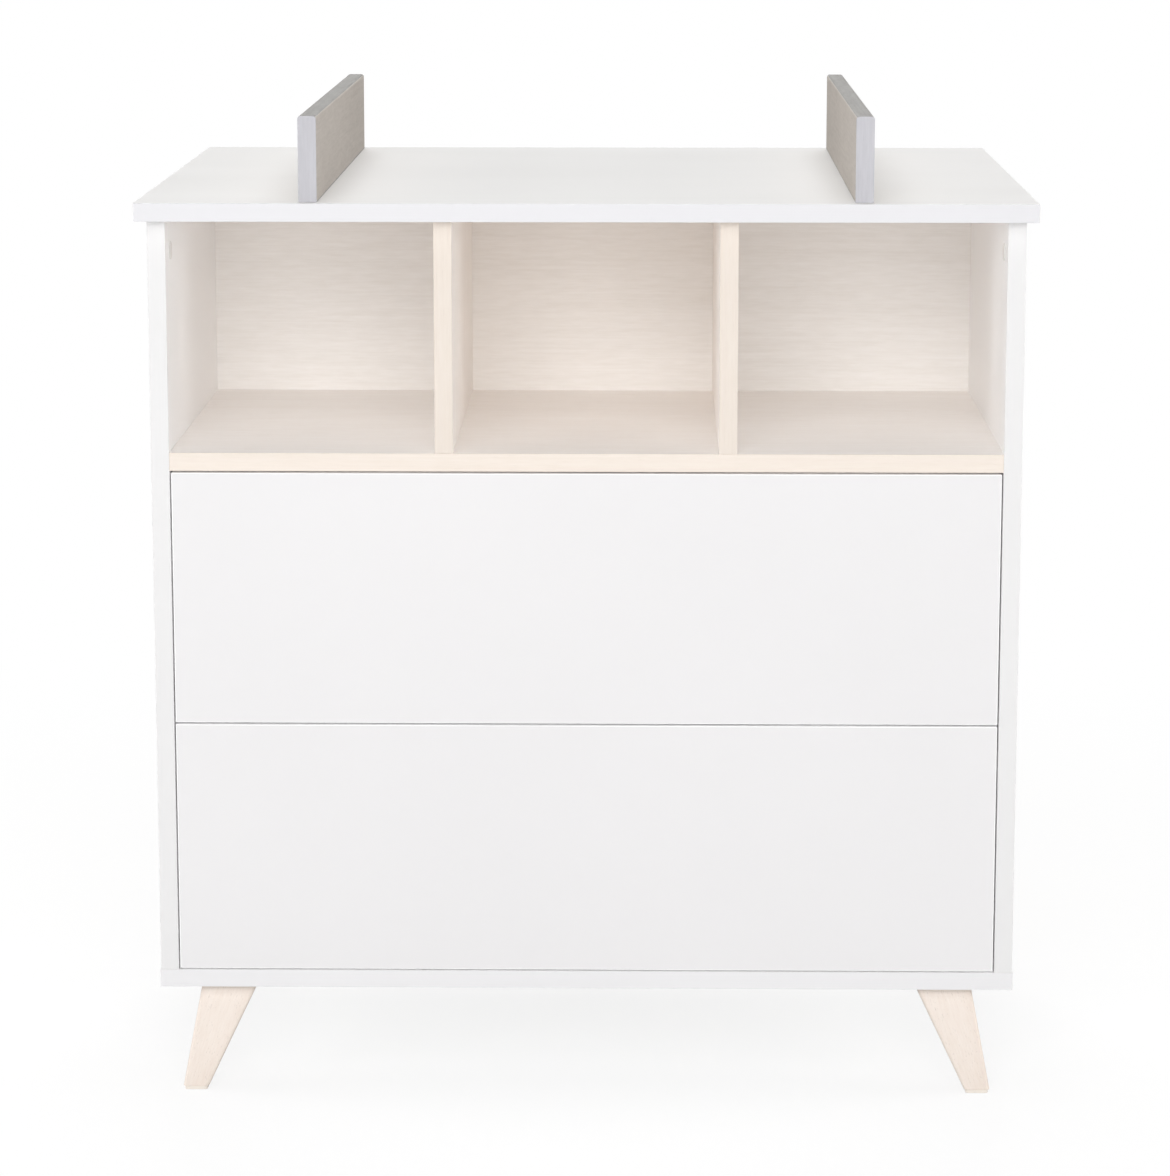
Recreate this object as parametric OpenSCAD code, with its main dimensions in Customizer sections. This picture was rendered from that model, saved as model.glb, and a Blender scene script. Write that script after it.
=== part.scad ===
// Changing dresser: three open niches over two push-to-open drawers, on splayed wooden legs,
// under a deep worktop with two rails that hold a changing mat between them.
// +X is to the right, +Y to the back and +Z up. The origin is on the floor, under the worktop's centre.

/* [Worktop] */
// Width of the worktop
top_w = 884; // [840:2:960]
// Depth of the worktop
top_d = 700; // [660:2:780]
// Height of the worktop's upper face above the floor
top_z = 907; // [880:1:960]
// Radius of the worktop's four upright corners
top_corner_r = 2; // [1:0.5:6]
// Overhang of the worktop past each side panel
side_overhang = 11; // [4:1:30]
// Overhang of the worktop past the drawer fronts
front_overhang = 20; // [8:1:40]

/* [Carcass] */
// Thickness of the melamine boards
board_t = 18; // [16:1:20]
// Thickness of the back panels and drawer bottoms
thin_t = 3; // [2.5:0.5:4]
// Depth of the grooves that hold the thin panels
groove_depth = 6; // [4:0.5:8]
// Distance of the back panels from the rear edges
back_inset = 10; // [6:1:20]
// Clear height of the open niches
niche_h = 231; // [200:1:260]
// How far each end of the bottom panel stands proud of the side panel
bottom_lip = 1; // [0.5:0.5:3]
// Play all round between a piece and its hole or groove
fit = 0.1; // [0.05:0.05:0.2]

/* [Changing rails] */
// Clear width between the two rails
mat_gap = 526; // [480:2:600]
// Height of each rail above the worktop
rail_h = 84; // [60:1:120]
// Thickness of each rail
rail_t = 18; // [16:1:22]
// Distance of each rail's ends from the worktop's front and rear edges
rail_end_gap = 14; // [5:1:40]
// Rounding of each rail's two upper edges
rail_edge_r = 3; // [1:0.5:6]
// Distance of the outer bolts from the rail's ends
rail_bolt_inset = 85; // [60:1:110]

/* [Legs] */
// Height of the carcass above the floor
leg_h = 110; // [90:1:150]
// Width of each leg where it meets the carcass
leg_top_w = 57; // [48:1:60]
// Depth of each leg where it meets the carcass
leg_top_d = 54; // [44:1:60]
// Width of each leg at its foot
leg_foot_w = 26; // [18:1:36]
// Depth of each leg at its foot
leg_foot_d = 26; // [18:1:36]
// Distance of each leg's top from the outer face of the side panel
leg_side_inset = 40; // [24:1:60]
// Distance of each leg's top from the carcass's front and rear edges
leg_front_inset = 15; // [6:1:30]
// How far the foot's outer face leans out past the leg's top, sideways
leg_lean_x = 20; // [5:1:24]
// How far the foot's outer face leans out past the leg's top, to the front or rear
leg_lean_y = 13; // [5:1:16]
// Rounding of the leg's long edges
leg_edge_r = 3; // [1:0.5:6]
// Thickness of the glide under each foot
glide_t = 4; // [2:0.5:6]
// Spacing of the two bolts that hold each leg
leg_bolt_pitch = 22; // [20:1:26]

/* [Drawers] */
// Gap between each drawer front and the side panels
front_side_gap = 1.5; // [1:0.5:4]
// Gap below the lower drawer front
front_bottom_gap = 1.5; // [1:0.5:4]
// Gap between the two drawer fronts, and above the upper one
front_gap = 2; // [2:0.5:6]
// Height of the drawer sides
drawer_side_h = 180; // [150:1:200]
// Thickness of the drawer sides and backs
drawer_side_t = 12; // [12:1:16]
// Height of the drawer sides' lower edge above the drawer front's
drawer_rise = 15; // [10:1:22]
// Height of the drawer bottom above the drawer sides' lower edge
drawer_bottom_rise = 10; // [8:1:16]
// Distance of the drawer's cams and screws from the sides' upper and lower edges
drawer_fix_inset = 30; // [24:1:32]

/* [Ball-bearing slides] */
// Height of each slide
slide_h = 45; // [44:0.5:50]
// Width of each slide, from the side panel to the drawer side
slide_w = 12.7; // [12.5:0.1:14]
// Length of each of the slide's three members
slide_len = 350; // [330:1:390]
// Thickness of the slide's steel sheet
slide_sheet = 1.2; // [1:0.1:1.4]
// Height of the slide's centre line above the drawer sides' lower edge
slide_rise = 60; // [56:1:110]
// Distance of the slide's front end from the back of the drawer front
slide_setback = 6; // [5:0.5:8]
// Radius of the balls between the cabinet rail and the intermediate rail
outer_ball_r = 2.5; // [2.2:0.1:2.6]
// Radius of the balls between the intermediate rail and the drawer rail
inner_ball_r = 2; // [1.8:0.1:2.2]
// Running play between the balls and their races
race_play = 0.1; // [0.05:0.05:0.15]
// Thickness of the ball cages
cage_sheet = 0.6; // [0.4:0.1:0.7]
// Length of each ball cage
cage_len = 150; // [120:1:170]
// Distance of each cage's front end from the slide's front end
cage_setback = 100; // [90:1:110]
// Number of balls in each row of a cage
balls_in_row = 5; // [3:1:7]

/* [Push latches] */
// Radius of the latch plunger's rod
plunger_r = 4; // [3:0.5:5]
// Radius of the latch plunger's head
plunger_head_r = 6; // [5:0.5:7]
// Thickness of the plunger's head
plunger_head_t = 4; // [3:0.5:5]
// Length of the latch housing's barrel
latch_len = 60; // [50:1:62]
// Height of the latch housing's barrel
latch_h = 18; // [14:1:24]
// Inward travel of the plunger that releases the latch
latch_press = 3; // [2:0.5:4]
// Thickness of the latch housing's base plate
latch_base_t = 2.5; // [2:0.5:3]
// Room between the latch housings and the back panel
latch_room = 5; // [1:1:40]
// Thickness of the strike plate on the drawer
strike_t = 1.5; // [1:0.5:2]

/* [Fasteners] */
// Radius of the dowels
dowel_r = 4; // [3:0.5:5]
// Length of the dowels
dowel_len = 30; // [25:1:35]
// Distance of the dowels from the panels' front and rear edges
dowel_inset = 80; // [70:1:100]
// Radius of the carcass's cam locks
cam_r = 7.5; // [6:0.5:8]
// Depth of the carcass's cam locks
cam_depth = 12.5; // [12:0.5:13.5]
// Distance of each cam's centre from the joint that it draws together
cam_offset = 34; // [30:1:40]
// Distance of the cams from the panels' front and rear edges
cam_inset = 40; // [30:1:50]
// Radius of the cams' bolts
cam_bolt_r = 3.4; // [3:0.1:3.8]
// Length of the base screws, which pass up through the bottom panel
base_screw_len = 50; // [45:1:60]
// Radius of the machine bolts in the legs and rails
bolt_r = 3; // [2.5:0.5:4]
// Bite of each machine bolt past the board that it clamps
bolt_bite = 18; // [15:1:20]
// Outer radius of the threaded inserts
insert_r = 5; // [4.5:0.5:6]
// Length of the threaded inserts
insert_len = 13; // [10:1:14]
// Radius of the wood screws
screw_r = 1.75; // [1.5:0.05:2]
// Radius of the wood screws' countersunk heads
screw_head_r = 3.3; // [3:0.1:3.6]
// Length of the wood screws
screw_len = 15; // [12:1:15]

/* [Wall brackets] */
// Distance between the holes of the two wall brackets
bracket_pitch = 700; // [600:2:760]
// Width of each wall bracket
bracket_w = 60; // [50:1:80]
// Length of the bracket's arm under the worktop
bracket_arm = 32; // [28:1:50]
// Length of the bracket's arm down the wall
bracket_drop = 36; // [30:1:60]
// Thickness of the bracket's steel
bracket_t = 2; // [2:0.5:3]
// Depth of the wall hole below the worktop
wall_hole_drop = 20; // [16:1:22]
// Radius of the wall hole
wall_hole_r = 3; // [2.5:0.5:4]

/* [Hidden] */
$fn = 48;
// How far a cut runs past the face that it opens
over = 1;

white_board = [0.95, 0.95, 0.95];
oak_decor = [0.88, 0.82, 0.75];
grey_decor = [0.72, 0.69, 0.66];
beech = [0.94, 0.87, 0.79];
hardboard = [0.9, 0.9, 0.88];
steel = [0.76, 0.77, 0.78];
latch_grey = [0.62, 0.63, 0.64];
zinc = [0.68, 0.68, 0.66];
birch = [0.86, 0.77, 0.62];
felt = [0.85, 0.81, 0.74];

// Depths, from the back of the drawer fronts: drawer boxes, strikes and latches, then the back
front_y = -top_d / 2 + front_overhang;
box_y0 = front_y + board_t;
slide_y0 = box_y0 + slide_setback;
slide_y1 = slide_y0 + slide_len;
box_y1 = slide_y1;
strike_y = box_y1 + strike_t;
plunger_gap = 0.2;
plunger_y = strike_y + plunger_gap;
// Room left between the barrel and the plunger's head when it is pressed in
press_room = 1.3;
latch_y0 = plunger_y + plunger_head_t + latch_press + press_room;
latch_y1 = latch_y0 + latch_len;
latch_ear = 8;
panel_y = latch_y1 + latch_ear + latch_room;
back_y = panel_y + thin_t;
rear_y = back_y + back_inset;
carcass_d = rear_y - front_y;

// Places of the carcass's main faces
half_w = top_w / 2 - side_overhang;
inner_x = half_w - board_t;
mid_x = half_w - board_t / 2;
under_z = top_z - board_t;
shelf_z1 = under_z - niche_h;
shelf_z0 = shelf_z1 - board_t;
shelf_mid = shelf_z0 + board_t / 2;
base_z1 = leg_h + board_t;
divider_x = (inner_x + board_t / 2) / 3;

// Places of the changing rails and their bolts
rail_x = mat_gap / 2 + rail_t / 2;
rail_y = top_d / 2 - rail_end_gap;
rail_bolt_y = rail_y - rail_bolt_inset;
bolt_head_r = 6;
bolt_head_t = 4;
bolt_play = 0.4;

// Places of the legs' tops and bolts
leg_x = half_w - leg_side_inset - leg_top_w / 2;
leg_y = carcass_d / 2 - leg_front_inset - leg_top_d / 2;
carcass_mid_y = (front_y + rear_y) / 2;
leg_bolt_shift = 4;
leg_land = 1;
glide_margin = 1.5;

// Drawer fronts and boxes, with index 0 for the lower drawer and 1 for the upper one
front_h = (shelf_z0 - base_z1 - front_bottom_gap - 2 * front_gap) / 2;
front_z = [for (i = [0, 1]) base_z1 + front_bottom_gap + i * (front_h + front_gap)];
front_x = inner_x - front_side_gap;
box_x1 = inner_x - slide_w;
box_x0 = box_x1 - drawer_side_t;
box_mid_x = (box_x0 + box_x1) / 2;
box_back_y = box_y1 - drawer_side_t;
bottom_z = drawer_rise + drawer_bottom_rise;
drawer_fix_z = [drawer_rise + drawer_fix_inset, drawer_rise + drawer_side_h - drawer_fix_inset];
drawer_cam_r = 6;
drawer_cam_depth = 9;
drawer_cam_offset = 24;
drawer_bolt_r = 2.5;
drawer_bolt_bite = 10;
drawer_screw_len = 30;

// Section of the slides, with u from the side panel to the drawer and v up from the centre line
outer_race = outer_ball_r + race_play;
inner_race = inner_ball_r + race_play;
outer_row_v = slide_h / 2 - slide_sheet - outer_race;
inner_row_v = outer_row_v - outer_race - slide_sheet - inner_race;
cage_gap = 0.2;
outer_cage_u = slide_sheet + cage_gap;
middle_web_u = outer_cage_u + cage_sheet + cage_gap;
outer_row_u = middle_web_u + slide_sheet + outer_race;
inner_cage_u = middle_web_u + slide_sheet + 2 * cage_gap;
row_shift = 1.4;
inner_row_u = outer_row_u + row_shift;
web_margin = 1.7;
cage_lip = 1;
cage_grip = 0.4;
cage_window_r = 2;
slide_z = [for (z = front_z) z + drawer_rise + slide_rise];
cabinet_screw_at = [37, 165, slide_len - 57];
drawer_screw_at = [60, 180, slide_len - 40];
// Slots in the three members' webs, by their distance from the slide's front end
cabinet_slots_at = [68, 110, 215, 255];
intermediate_windows_at = cabinet_screw_at;
drawer_slots_at = [30, 120, 150, 245, 275];

// Push latches, behind the drawer sides' rear ends
latch_u = slide_w + drawer_side_t / 2;
latch_wall = 3.8;
latch_round = 4;
latch_base_margin = 3;
strike_h = 22;
strike_margin = 0.5;
latch_screw_y = [latch_y0 - latch_ear / 2, latch_y1 + latch_ear / 2];
plunger_end_room = 8;
plunger_rod_len = latch_len - plunger_end_room;
strike_pin_r = 1.5;
strike_pin_len = 10;

cam_y = [front_y + cam_inset, rear_y - cam_inset];
dowel_y = [front_y + dowel_inset, rear_y - dowel_inset];
base_screw_y = [cam_y[0], carcass_mid_y, cam_y[1]];
// Depth of a dowel or a cam's bolt in the face of a board
face_bite = board_t - 7;
dowel_shift = dowel_len / 2 - face_bite;
screw_head_t = 1.6;
screw_tip = 3;
screw_tip_r = 0.4;
base_screw_r = 3;
base_screw_head_r = 5;
base_screw_head_t = 4;
back_screw_x = [-300, -100, 100, 300];
back_screw_drop = 4.5;

// A box between two opposite corners
module block(lo, hi) {
    translate(lo)
        cube(hi - lo);
}

// A profile in the X-Z plane, drawn out from y0 to y1
module along_y(y0, y1) {
    translate([0, y1, 0])
        rotate([90, 0, 0])
            linear_extrude(y1 - y0)
                children();
}

// A piece made for the left side, or its mirror image on the right
module on_side(side) {
    if (side < 0)
        children();
    else
        mirror([1, 0, 0])
            children();
}

module both_sides() {
    on_side(-1)
        children();
    on_side(1)
        children();
}

// A flat rectangle with round corners, centred
module round_rect(w, d, r) {
    union() {
        square([w - 2 * r, d], center = true);
        square([w, d - 2 * r], center = true);
        for (x = [-1, 1], y = [-1, 1])
            translate([x * (w / 2 - r), y * (d / 2 - r)])
                circle(r);
    }
}

// A curved strip between two radii, from angle a0 to angle a1
module arc_strip(r0, r1, a0, a1) {
    steps = 4;
    intersection() {
        difference() {
            circle(r1);
            circle(r0);
        }
        polygon([[0, 0], for (i = [0:steps]) 2 * r1 * [cos(a0 + (a1 - a0) * i / steps),
                                                       sin(a0 + (a1 - a0) * i / steps)]]);
    }
}

// A countersunk wood screw along +Z with its head's face at 0, or the hole for it
module wood_screw(length, play = 0) {
    translate([0, 0, -play])
        cylinder(h = screw_head_t + play, r1 = screw_head_r + play, r2 = screw_r + play);
    cylinder(h = length - screw_tip, r = screw_r + play);
    translate([0, 0, length - screw_tip])
        cylinder(h = screw_tip + play, r1 = screw_r + play, r2 = screw_tip_r + play);
}

// A socket-head machine bolt along +Z with its head under 0
module machine_bolt(length) {
    difference() {
        union() {
            translate([0, 0, -bolt_head_t])
                cylinder(h = bolt_head_t, r = bolt_head_r);
            translate([0, 0, -bolt_head_t / 2])
                cylinder(h = length + bolt_head_t / 2, r = bolt_r);
        }
        translate([0, 0, -bolt_head_t - over])
            cylinder(h = over + bolt_head_t / 2, r = bolt_head_r / 2, $fn = 6);
    }
}

// A bolt's way through one board and on past its insert, from 0 along +Z
module bolt_way() {
    translate([0, 0, -over])
        cylinder(h = board_t + bolt_bite + 2 * over, r = bolt_r + bolt_play);
    translate([0, 0, board_t])
        cylinder(h = insert_len + fit, r = insert_r + fit);
}

module threaded_insert() {
    difference() {
        cylinder(h = insert_len, r = insert_r);
        translate([0, 0, -over])
            cylinder(h = insert_len + 2 * over, r = bolt_r + fit);
    }
}

// A dowel on end, centred, or the hole for it
module dowel(play = 0) {
    translate([0, 0, -dowel_len / 2 - play])
        cylinder(h = dowel_len + 2 * play, r = dowel_r + play);
}

// A cam lock along +Z with its slotted face at 0
module cam_lock(r, depth) {
    slot = r / 3.5;
    difference() {
        cylinder(h = depth, r = r);
        for (turn = [0, 90])
            rotate([0, 0, turn])
                translate([-r * 0.6, -slot / 2, -over])
                    cube([r * 1.2, slot, over + slot]);
    }
}

// The hole for a cam lock
module cam_hole(r, depth) {
    translate([0, 0, -over])
        cylinder(h = depth + over + fit, r = r + fit);
}

// Each set below is drawn for the left side; play is the room that its holes have

module worktop_dowels(play = 0) {
    for (x = [-mid_x, -divider_x], y = dowel_y)
        translate([x, y, under_z - dowel_shift])
            dowel(play);
}

module shelf_divider_dowels(play = 0) {
    for (y = dowel_y)
        translate([-divider_x, y, shelf_z1 + dowel_shift])
            dowel(play);
}

module base_dowels(play = 0) {
    for (y = dowel_y)
        translate([-mid_x, y, base_z1 + dowel_shift])
            dowel(play);
}

module shelf_end_dowels(play = 0) {
    for (y = dowel_y)
        translate([-inner_x + dowel_shift, y, shelf_mid])
            rotate([0, 90, 0])
                dowel(play);
}

module at_worktop_cams() {
    for (y = cam_y)
        translate([-inner_x, y, under_z - cam_offset])
            rotate([0, -90, 0])
                children();
}

module worktop_cam_bolts(play = 0) {
    start = play > 0 ? under_z - cam_offset : under_z - cam_offset + cam_r;
    for (y = cam_y)
        translate([-mid_x, y, start])
            cylinder(h = under_z + face_bite + play - start, r = cam_bolt_r + play);
}

module at_shelf_cams() {
    for (y = cam_y)
        translate([-inner_x + cam_offset, y, shelf_z0])
            children();
}

module shelf_cam_bolts(play = 0) {
    end = play > 0 ? cam_offset : cam_offset - cam_r;
    for (y = cam_y)
        translate([-inner_x - face_bite - play, y, shelf_mid])
            rotate([0, 90, 0])
                cylinder(h = end + face_bite + play, r = cam_bolt_r + play);
}

module base_screw_set(play = 0) {
    for (y = base_screw_y)
        translate([-mid_x, y, leg_h - play]) {
            cylinder(h = base_screw_head_t, r1 = base_screw_head_r + play, r2 = base_screw_r + play);
            cylinder(h = base_screw_len + 2 * play, r = base_screw_r + play);
        }
}

module slide_screws(play = 0) {
    for (z = slide_z, at = cabinet_screw_at)
        translate([-inner_x + slide_sheet, slide_y0 + at, z])
            rotate([0, -90, 0])
                wood_screw(screw_len, play);
}

module latch_screws(play = 0) {
    for (z = slide_z, y = latch_screw_y)
        translate([-inner_x + latch_base_t, y, z])
            rotate([0, -90, 0])
                wood_screw(screw_len, play);
}

module bracket_screws(play = 0) {
    for (x = [-1, 1])
        translate([-bracket_pitch / 2 + x * bracket_w / 4, top_d / 2 - bracket_arm / 2, under_z - bracket_t])
            wood_screw(screw_len, play);
}

// Screws that hold both back panels to the rear edge of the shelf
module back_screws(play = 0) {
    for (x = back_screw_x, side = [-1, 1])
        translate([x, back_y, shelf_mid + side * back_screw_drop])
            rotate([90, 0, 0])
                wood_screw(screw_len, play);
}

module at_rail_bolts() {
    for (y = [-rail_bolt_y, 0, rail_bolt_y])
        translate([-rail_x, y, under_z])
            children();
}

// Places of the four legs, each mirrored so that its foot leans outwards
module at_leg(side, end) {
    translate([0, carcass_mid_y, 0])
        mirror([0, end > 0 ? 1 : 0, 0])
            on_side(side)
                translate([-leg_x, -leg_y, 0])
                    children();
}

module at_leg_bolts() {
    for (x = [-1, 1])
        translate([-leg_bolt_shift + x * leg_bolt_pitch / 2, -leg_bolt_shift / 2, base_z1])
            rotate([180, 0, 0])
                children();
}

module at_legs() {
    for (side = [-1, 1], end = [-1, 1])
        at_leg(side, end)
            children();
}

module worktop() {
    color(white_board)
        difference() {
            translate([0, 0, under_z])
                linear_extrude(board_t)
                    round_rect(top_w, top_d, top_corner_r);
            block([-inner_x - groove_depth, panel_y - fit, under_z - over],
                  [inner_x + groove_depth, back_y + fit, under_z + groove_depth]);
            both_sides() {
                worktop_dowels(fit);
                worktop_cam_bolts(fit);
                bracket_screws(fit);
                at_rail_bolts()
                    bolt_way();
            }
        }
}

module side_panel() {
    color(white_board)
        difference() {
            block([-half_w, front_y, base_z1], [-inner_x, rear_y, under_z]);
            block([-inner_x - groove_depth, panel_y - fit, base_z1 - over],
                  [-inner_x + over, back_y + fit, under_z + over]);
            worktop_dowels(fit);
            base_dowels(fit);
            shelf_end_dowels(fit);
            at_worktop_cams()
                cam_hole(cam_r, cam_depth);
            worktop_cam_bolts(fit);
            shelf_cam_bolts(fit);
            base_screw_set(fit);
            slide_screws(fit);
            latch_screws(fit);
        }
}

module bottom_panel() {
    color(white_board)
        difference() {
            block([-half_w - bottom_lip, front_y, leg_h], [half_w + bottom_lip, rear_y, base_z1]);
            block([-inner_x - groove_depth, panel_y - fit, base_z1 - groove_depth],
                  [inner_x + groove_depth, back_y + fit, base_z1 + over]);
            both_sides() {
                base_dowels(fit);
                base_screw_set(fit);
            }
            at_legs()
                at_leg_bolts()
                    bolt_way();
        }
}

module niche_shelf() {
    color(oak_decor)
        difference() {
            block([-inner_x, front_y, shelf_z0], [inner_x, panel_y - fit, shelf_z1]);
            both_sides() {
                shelf_end_dowels(fit);
                shelf_divider_dowels(fit);
                shelf_cam_bolts(fit);
                at_shelf_cams()
                    cam_hole(cam_r, cam_depth);
            }
            back_screws(fit);
        }
}

module niche_divider() {
    color(oak_decor)
        difference() {
            block([-divider_x - board_t / 2, front_y, shelf_z1],
                  [-divider_x + board_t / 2, panel_y - fit, under_z]);
            worktop_dowels(fit);
            shelf_divider_dowels(fit);
        }
}

module niche_back_panel() {
    reach = inner_x + groove_depth - fit;
    color(oak_decor)
        difference() {
            block([-reach, panel_y, shelf_mid + fit], [reach, back_y, under_z + groove_depth - fit]);
            back_screws(fit);
        }
}

module drawer_bay_back_panel() {
    reach = inner_x + groove_depth - fit;
    color(hardboard)
        difference() {
            block([-reach, panel_y, base_z1 - groove_depth + fit], [reach, back_y, shelf_mid - fit]);
            back_screws(fit);
        }
}

// A rail beside the changing mat, square below and rounded along its upper edges
module changing_rail() {
    color(grey_decor)
        difference() {
            along_y(-rail_y, rail_y)
                translate([-rail_x, top_z])
                    union() {
                        translate([-rail_t / 2, 0])
                            square([rail_t, rail_h - rail_edge_r]);
                        translate([0, rail_h - rail_h / 4])
                            round_rect(rail_t, rail_h / 2, rail_edge_r);
                    }
            at_rail_bolts()
                bolt_way();
        }
}

module changing_rail_bolts() {
    color(steel)
        both_sides()
            at_rail_bolts()
                machine_bolt(board_t + bolt_bite);
}

module threaded_inserts() {
    color(zinc) {
        both_sides()
            at_rail_bolts()
                translate([0, 0, board_t])
                    threaded_insert();
        at_legs()
            at_leg_bolts()
                translate([0, 0, board_t])
                    threaded_insert();
    }
}

// A square leg that tapers to its foot and leans outwards both ways
module leg() {
    color(beech)
        difference() {
            hull() {
                translate([0, 0, leg_h - leg_land])
                    linear_extrude(leg_land)
                        round_rect(leg_top_w, leg_top_d, leg_edge_r, $fn = 32);
                translate([-(leg_top_w - leg_foot_w) / 2 - leg_lean_x,
                           -(leg_top_d - leg_foot_d) / 2 - leg_lean_y, glide_t])
                    linear_extrude(leg_land)
                        round_rect(leg_foot_w, leg_foot_d, leg_edge_r, $fn = 32);
            }
            at_leg_bolts()
                bolt_way();
        }
}

module leg_bolts() {
    color(steel)
        at_legs()
            at_leg_bolts()
                machine_bolt(board_t + bolt_bite);
}

module foot_glides() {
    color(felt)
        at_legs()
            translate([-(leg_top_w - leg_foot_w) / 2 - leg_lean_x,
                       -(leg_top_d - leg_foot_d) / 2 - leg_lean_y, 0])
                linear_extrude(glide_t)
                    round_rect(leg_foot_w - 2 * glide_margin, leg_foot_d - 2 * glide_margin, leg_edge_r);
}

// An angle of bent steel under the worktop's rear edge, with one hole for the wall
module wall_bracket() {
    bend = bracket_t * 1.5;
    difference() {
        translate([-bracket_pitch / 2 - bracket_w / 2, top_d / 2, under_z])
            rotate([90, 0, 90])
                linear_extrude(bracket_w)
                    union() {
                        translate([-bracket_arm, -bracket_t])
                            square([bracket_arm - bend, bracket_t]);
                        translate([-bracket_t, -bracket_drop])
                            square([bracket_t, bracket_drop - bend]);
                        translate([-bend, -bend])
                            arc_strip(bend - bracket_t, bend, 0, 90);
                    }
        bracket_screws(fit);
        translate([-bracket_pitch / 2, top_d / 2 - bracket_t - over, under_z - wall_hole_drop])
            rotate([-90, 0, 0])
                cylinder(h = bracket_t + 2 * over, r = wall_hole_r);
    }
}

module wall_brackets() {
    color(steel)
        both_sides()
            wall_bracket();
}

module cam_locks() {
    color(zinc)
        both_sides() {
            at_worktop_cams()
                cam_lock(cam_r, cam_depth);
            at_shelf_cams()
                cam_lock(cam_r, cam_depth);
        }
}

module cam_bolts() {
    color(steel)
        both_sides() {
            worktop_cam_bolts();
            shelf_cam_bolts();
        }
}

module dowels() {
    color(birch)
        both_sides() {
            worktop_dowels();
            shelf_divider_dowels();
            base_dowels();
            shelf_end_dowels();
        }
}

module base_screws() {
    color(steel)
        both_sides()
            base_screw_set();
}

module carcass_screws() {
    color(steel) {
        both_sides() {
            slide_screws();
            latch_screws();
            bracket_screws();
        }
        back_screws();
    }
}

// Upper half of each slide member's section, mirrored below
module both_rows() {
    children();
    mirror([0, 1])
        children();
}

module cabinet_rail_section() {
    translate([0, -slide_h / 2])
        square([slide_sheet, slide_h]);
    both_rows() {
        translate([0, slide_h / 2 - slide_sheet])
            square([outer_row_u, slide_sheet]);
        translate([outer_row_u, outer_row_v])
            arc_strip(outer_race, outer_race + slide_sheet, -5, 90);
    }
}

module intermediate_rail_section() {
    translate([middle_web_u, -outer_row_v + web_margin])
        square([slide_sheet, 2 * (outer_row_v - web_margin)]);
    both_rows() {
        translate([outer_row_u, outer_row_v])
            arc_strip(outer_race, outer_race + slide_sheet, 205, 335);
        translate([middle_web_u, outer_row_v - outer_race - slide_sheet])
            square([inner_row_u - middle_web_u, slide_sheet]);
        translate([inner_row_u, inner_row_v])
            arc_strip(inner_race, inner_race + slide_sheet, -15, 90);
    }
}

module drawer_rail_section() {
    foot_v = inner_row_v - inner_race - slide_sheet;
    translate([slide_w - slide_sheet, -foot_v - slide_sheet])
        square([slide_sheet, 2 * (foot_v + slide_sheet)]);
    both_rows() {
        translate([inner_row_u, foot_v])
            square([slide_w - inner_row_u, slide_sheet]);
        translate([inner_row_u, inner_row_v])
            arc_strip(inner_race, inner_race + slide_sheet, -145, -35);
    }
}

// One slide member on the left side, along the whole slide
module slide_member(z) {
    translate([-inner_x, 0, z])
        along_y(slide_y0, slide_y1)
            children();
}

// Windows and slots punched through a member's web, at places counted from its front end
module punched(z, places, length, height) {
    for (at = places)
        translate([-inner_x - over, slide_y0 + at, z])
            rotate([0, 90, 0])
                linear_extrude(slide_w + 2 * over)
                    round_rect(height, length, height / 2 - fit);
}

module cabinet_rail(i) {
    color(steel)
        difference() {
            slide_member(slide_z[i])
                cabinet_rail_section();
            slide_screws(fit);
            punched(slide_z[i], cabinet_slots_at, 12, 5);
        }
}

module intermediate_rail(i) {
    color(steel)
        difference() {
            slide_member(slide_z[i])
                intermediate_rail_section();
            punched(slide_z[i], intermediate_windows_at, 14, 11);
        }
}

module drawer_rail(i) {
    color(steel)
        difference() {
            slide_member(slide_z[i])
                drawer_rail_section();
            drawer_slide_screws(slide_z[i], fit);
            punched(slide_z[i], drawer_slots_at, 10, 5);
        }
}

// Screws from inside the drawer rail into the drawer side
module drawer_slide_screws(z, play = 0) {
    for (at = drawer_screw_at)
        translate([-box_x1 - slide_sheet, slide_y0 + at, z])
            rotate([0, 90, 0])
                wood_screw(drawer_side_t - over, play);
}

// A pair of ball cages, each a punched strip with lips that hold two rows of balls
module ball_cages(i, strip_u, row_u, row_v, ball_r) {
    lip_v = row_v - cage_lip / 2;
    start = slide_y0 + cage_setback;
    pitch = cage_len / balls_in_row;
    color(zinc)
        both_sides()
            translate([-inner_x, 0, slide_z[i]])
                union() {
                    difference() {
                        along_y(start, start + cage_len)
                            union() {
                                translate([strip_u, -row_v - cage_lip / 2])
                                    square([cage_sheet, 2 * row_v + cage_lip]);
                                both_rows()
                                    translate([strip_u, lip_v])
                                        square([row_u - ball_r + cage_grip - strip_u, cage_lip]);
                            }
                        for (n = [0:balls_in_row - 1])
                            translate([strip_u - over, start + (n + 0.5) * pitch, 0])
                                rotate([0, 90, 0])
                                    linear_extrude(cage_sheet + 2 * over)
                                        round_rect(1.4 * row_v, 0.6 * pitch, cage_window_r);
                    }
                    for (n = [0:balls_in_row - 1], v = [-row_v, row_v])
                        translate([row_u, start + (n + 0.5) * pitch, v])
                            sphere(ball_r);
                }
}

module outer_ball_cages(i) {
    ball_cages(i, outer_cage_u, outer_row_u, outer_row_v, outer_ball_r);
}

module inner_ball_cages(i) {
    ball_cages(i, inner_cage_u, inner_row_u, inner_row_v, inner_ball_r);
}

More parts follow.
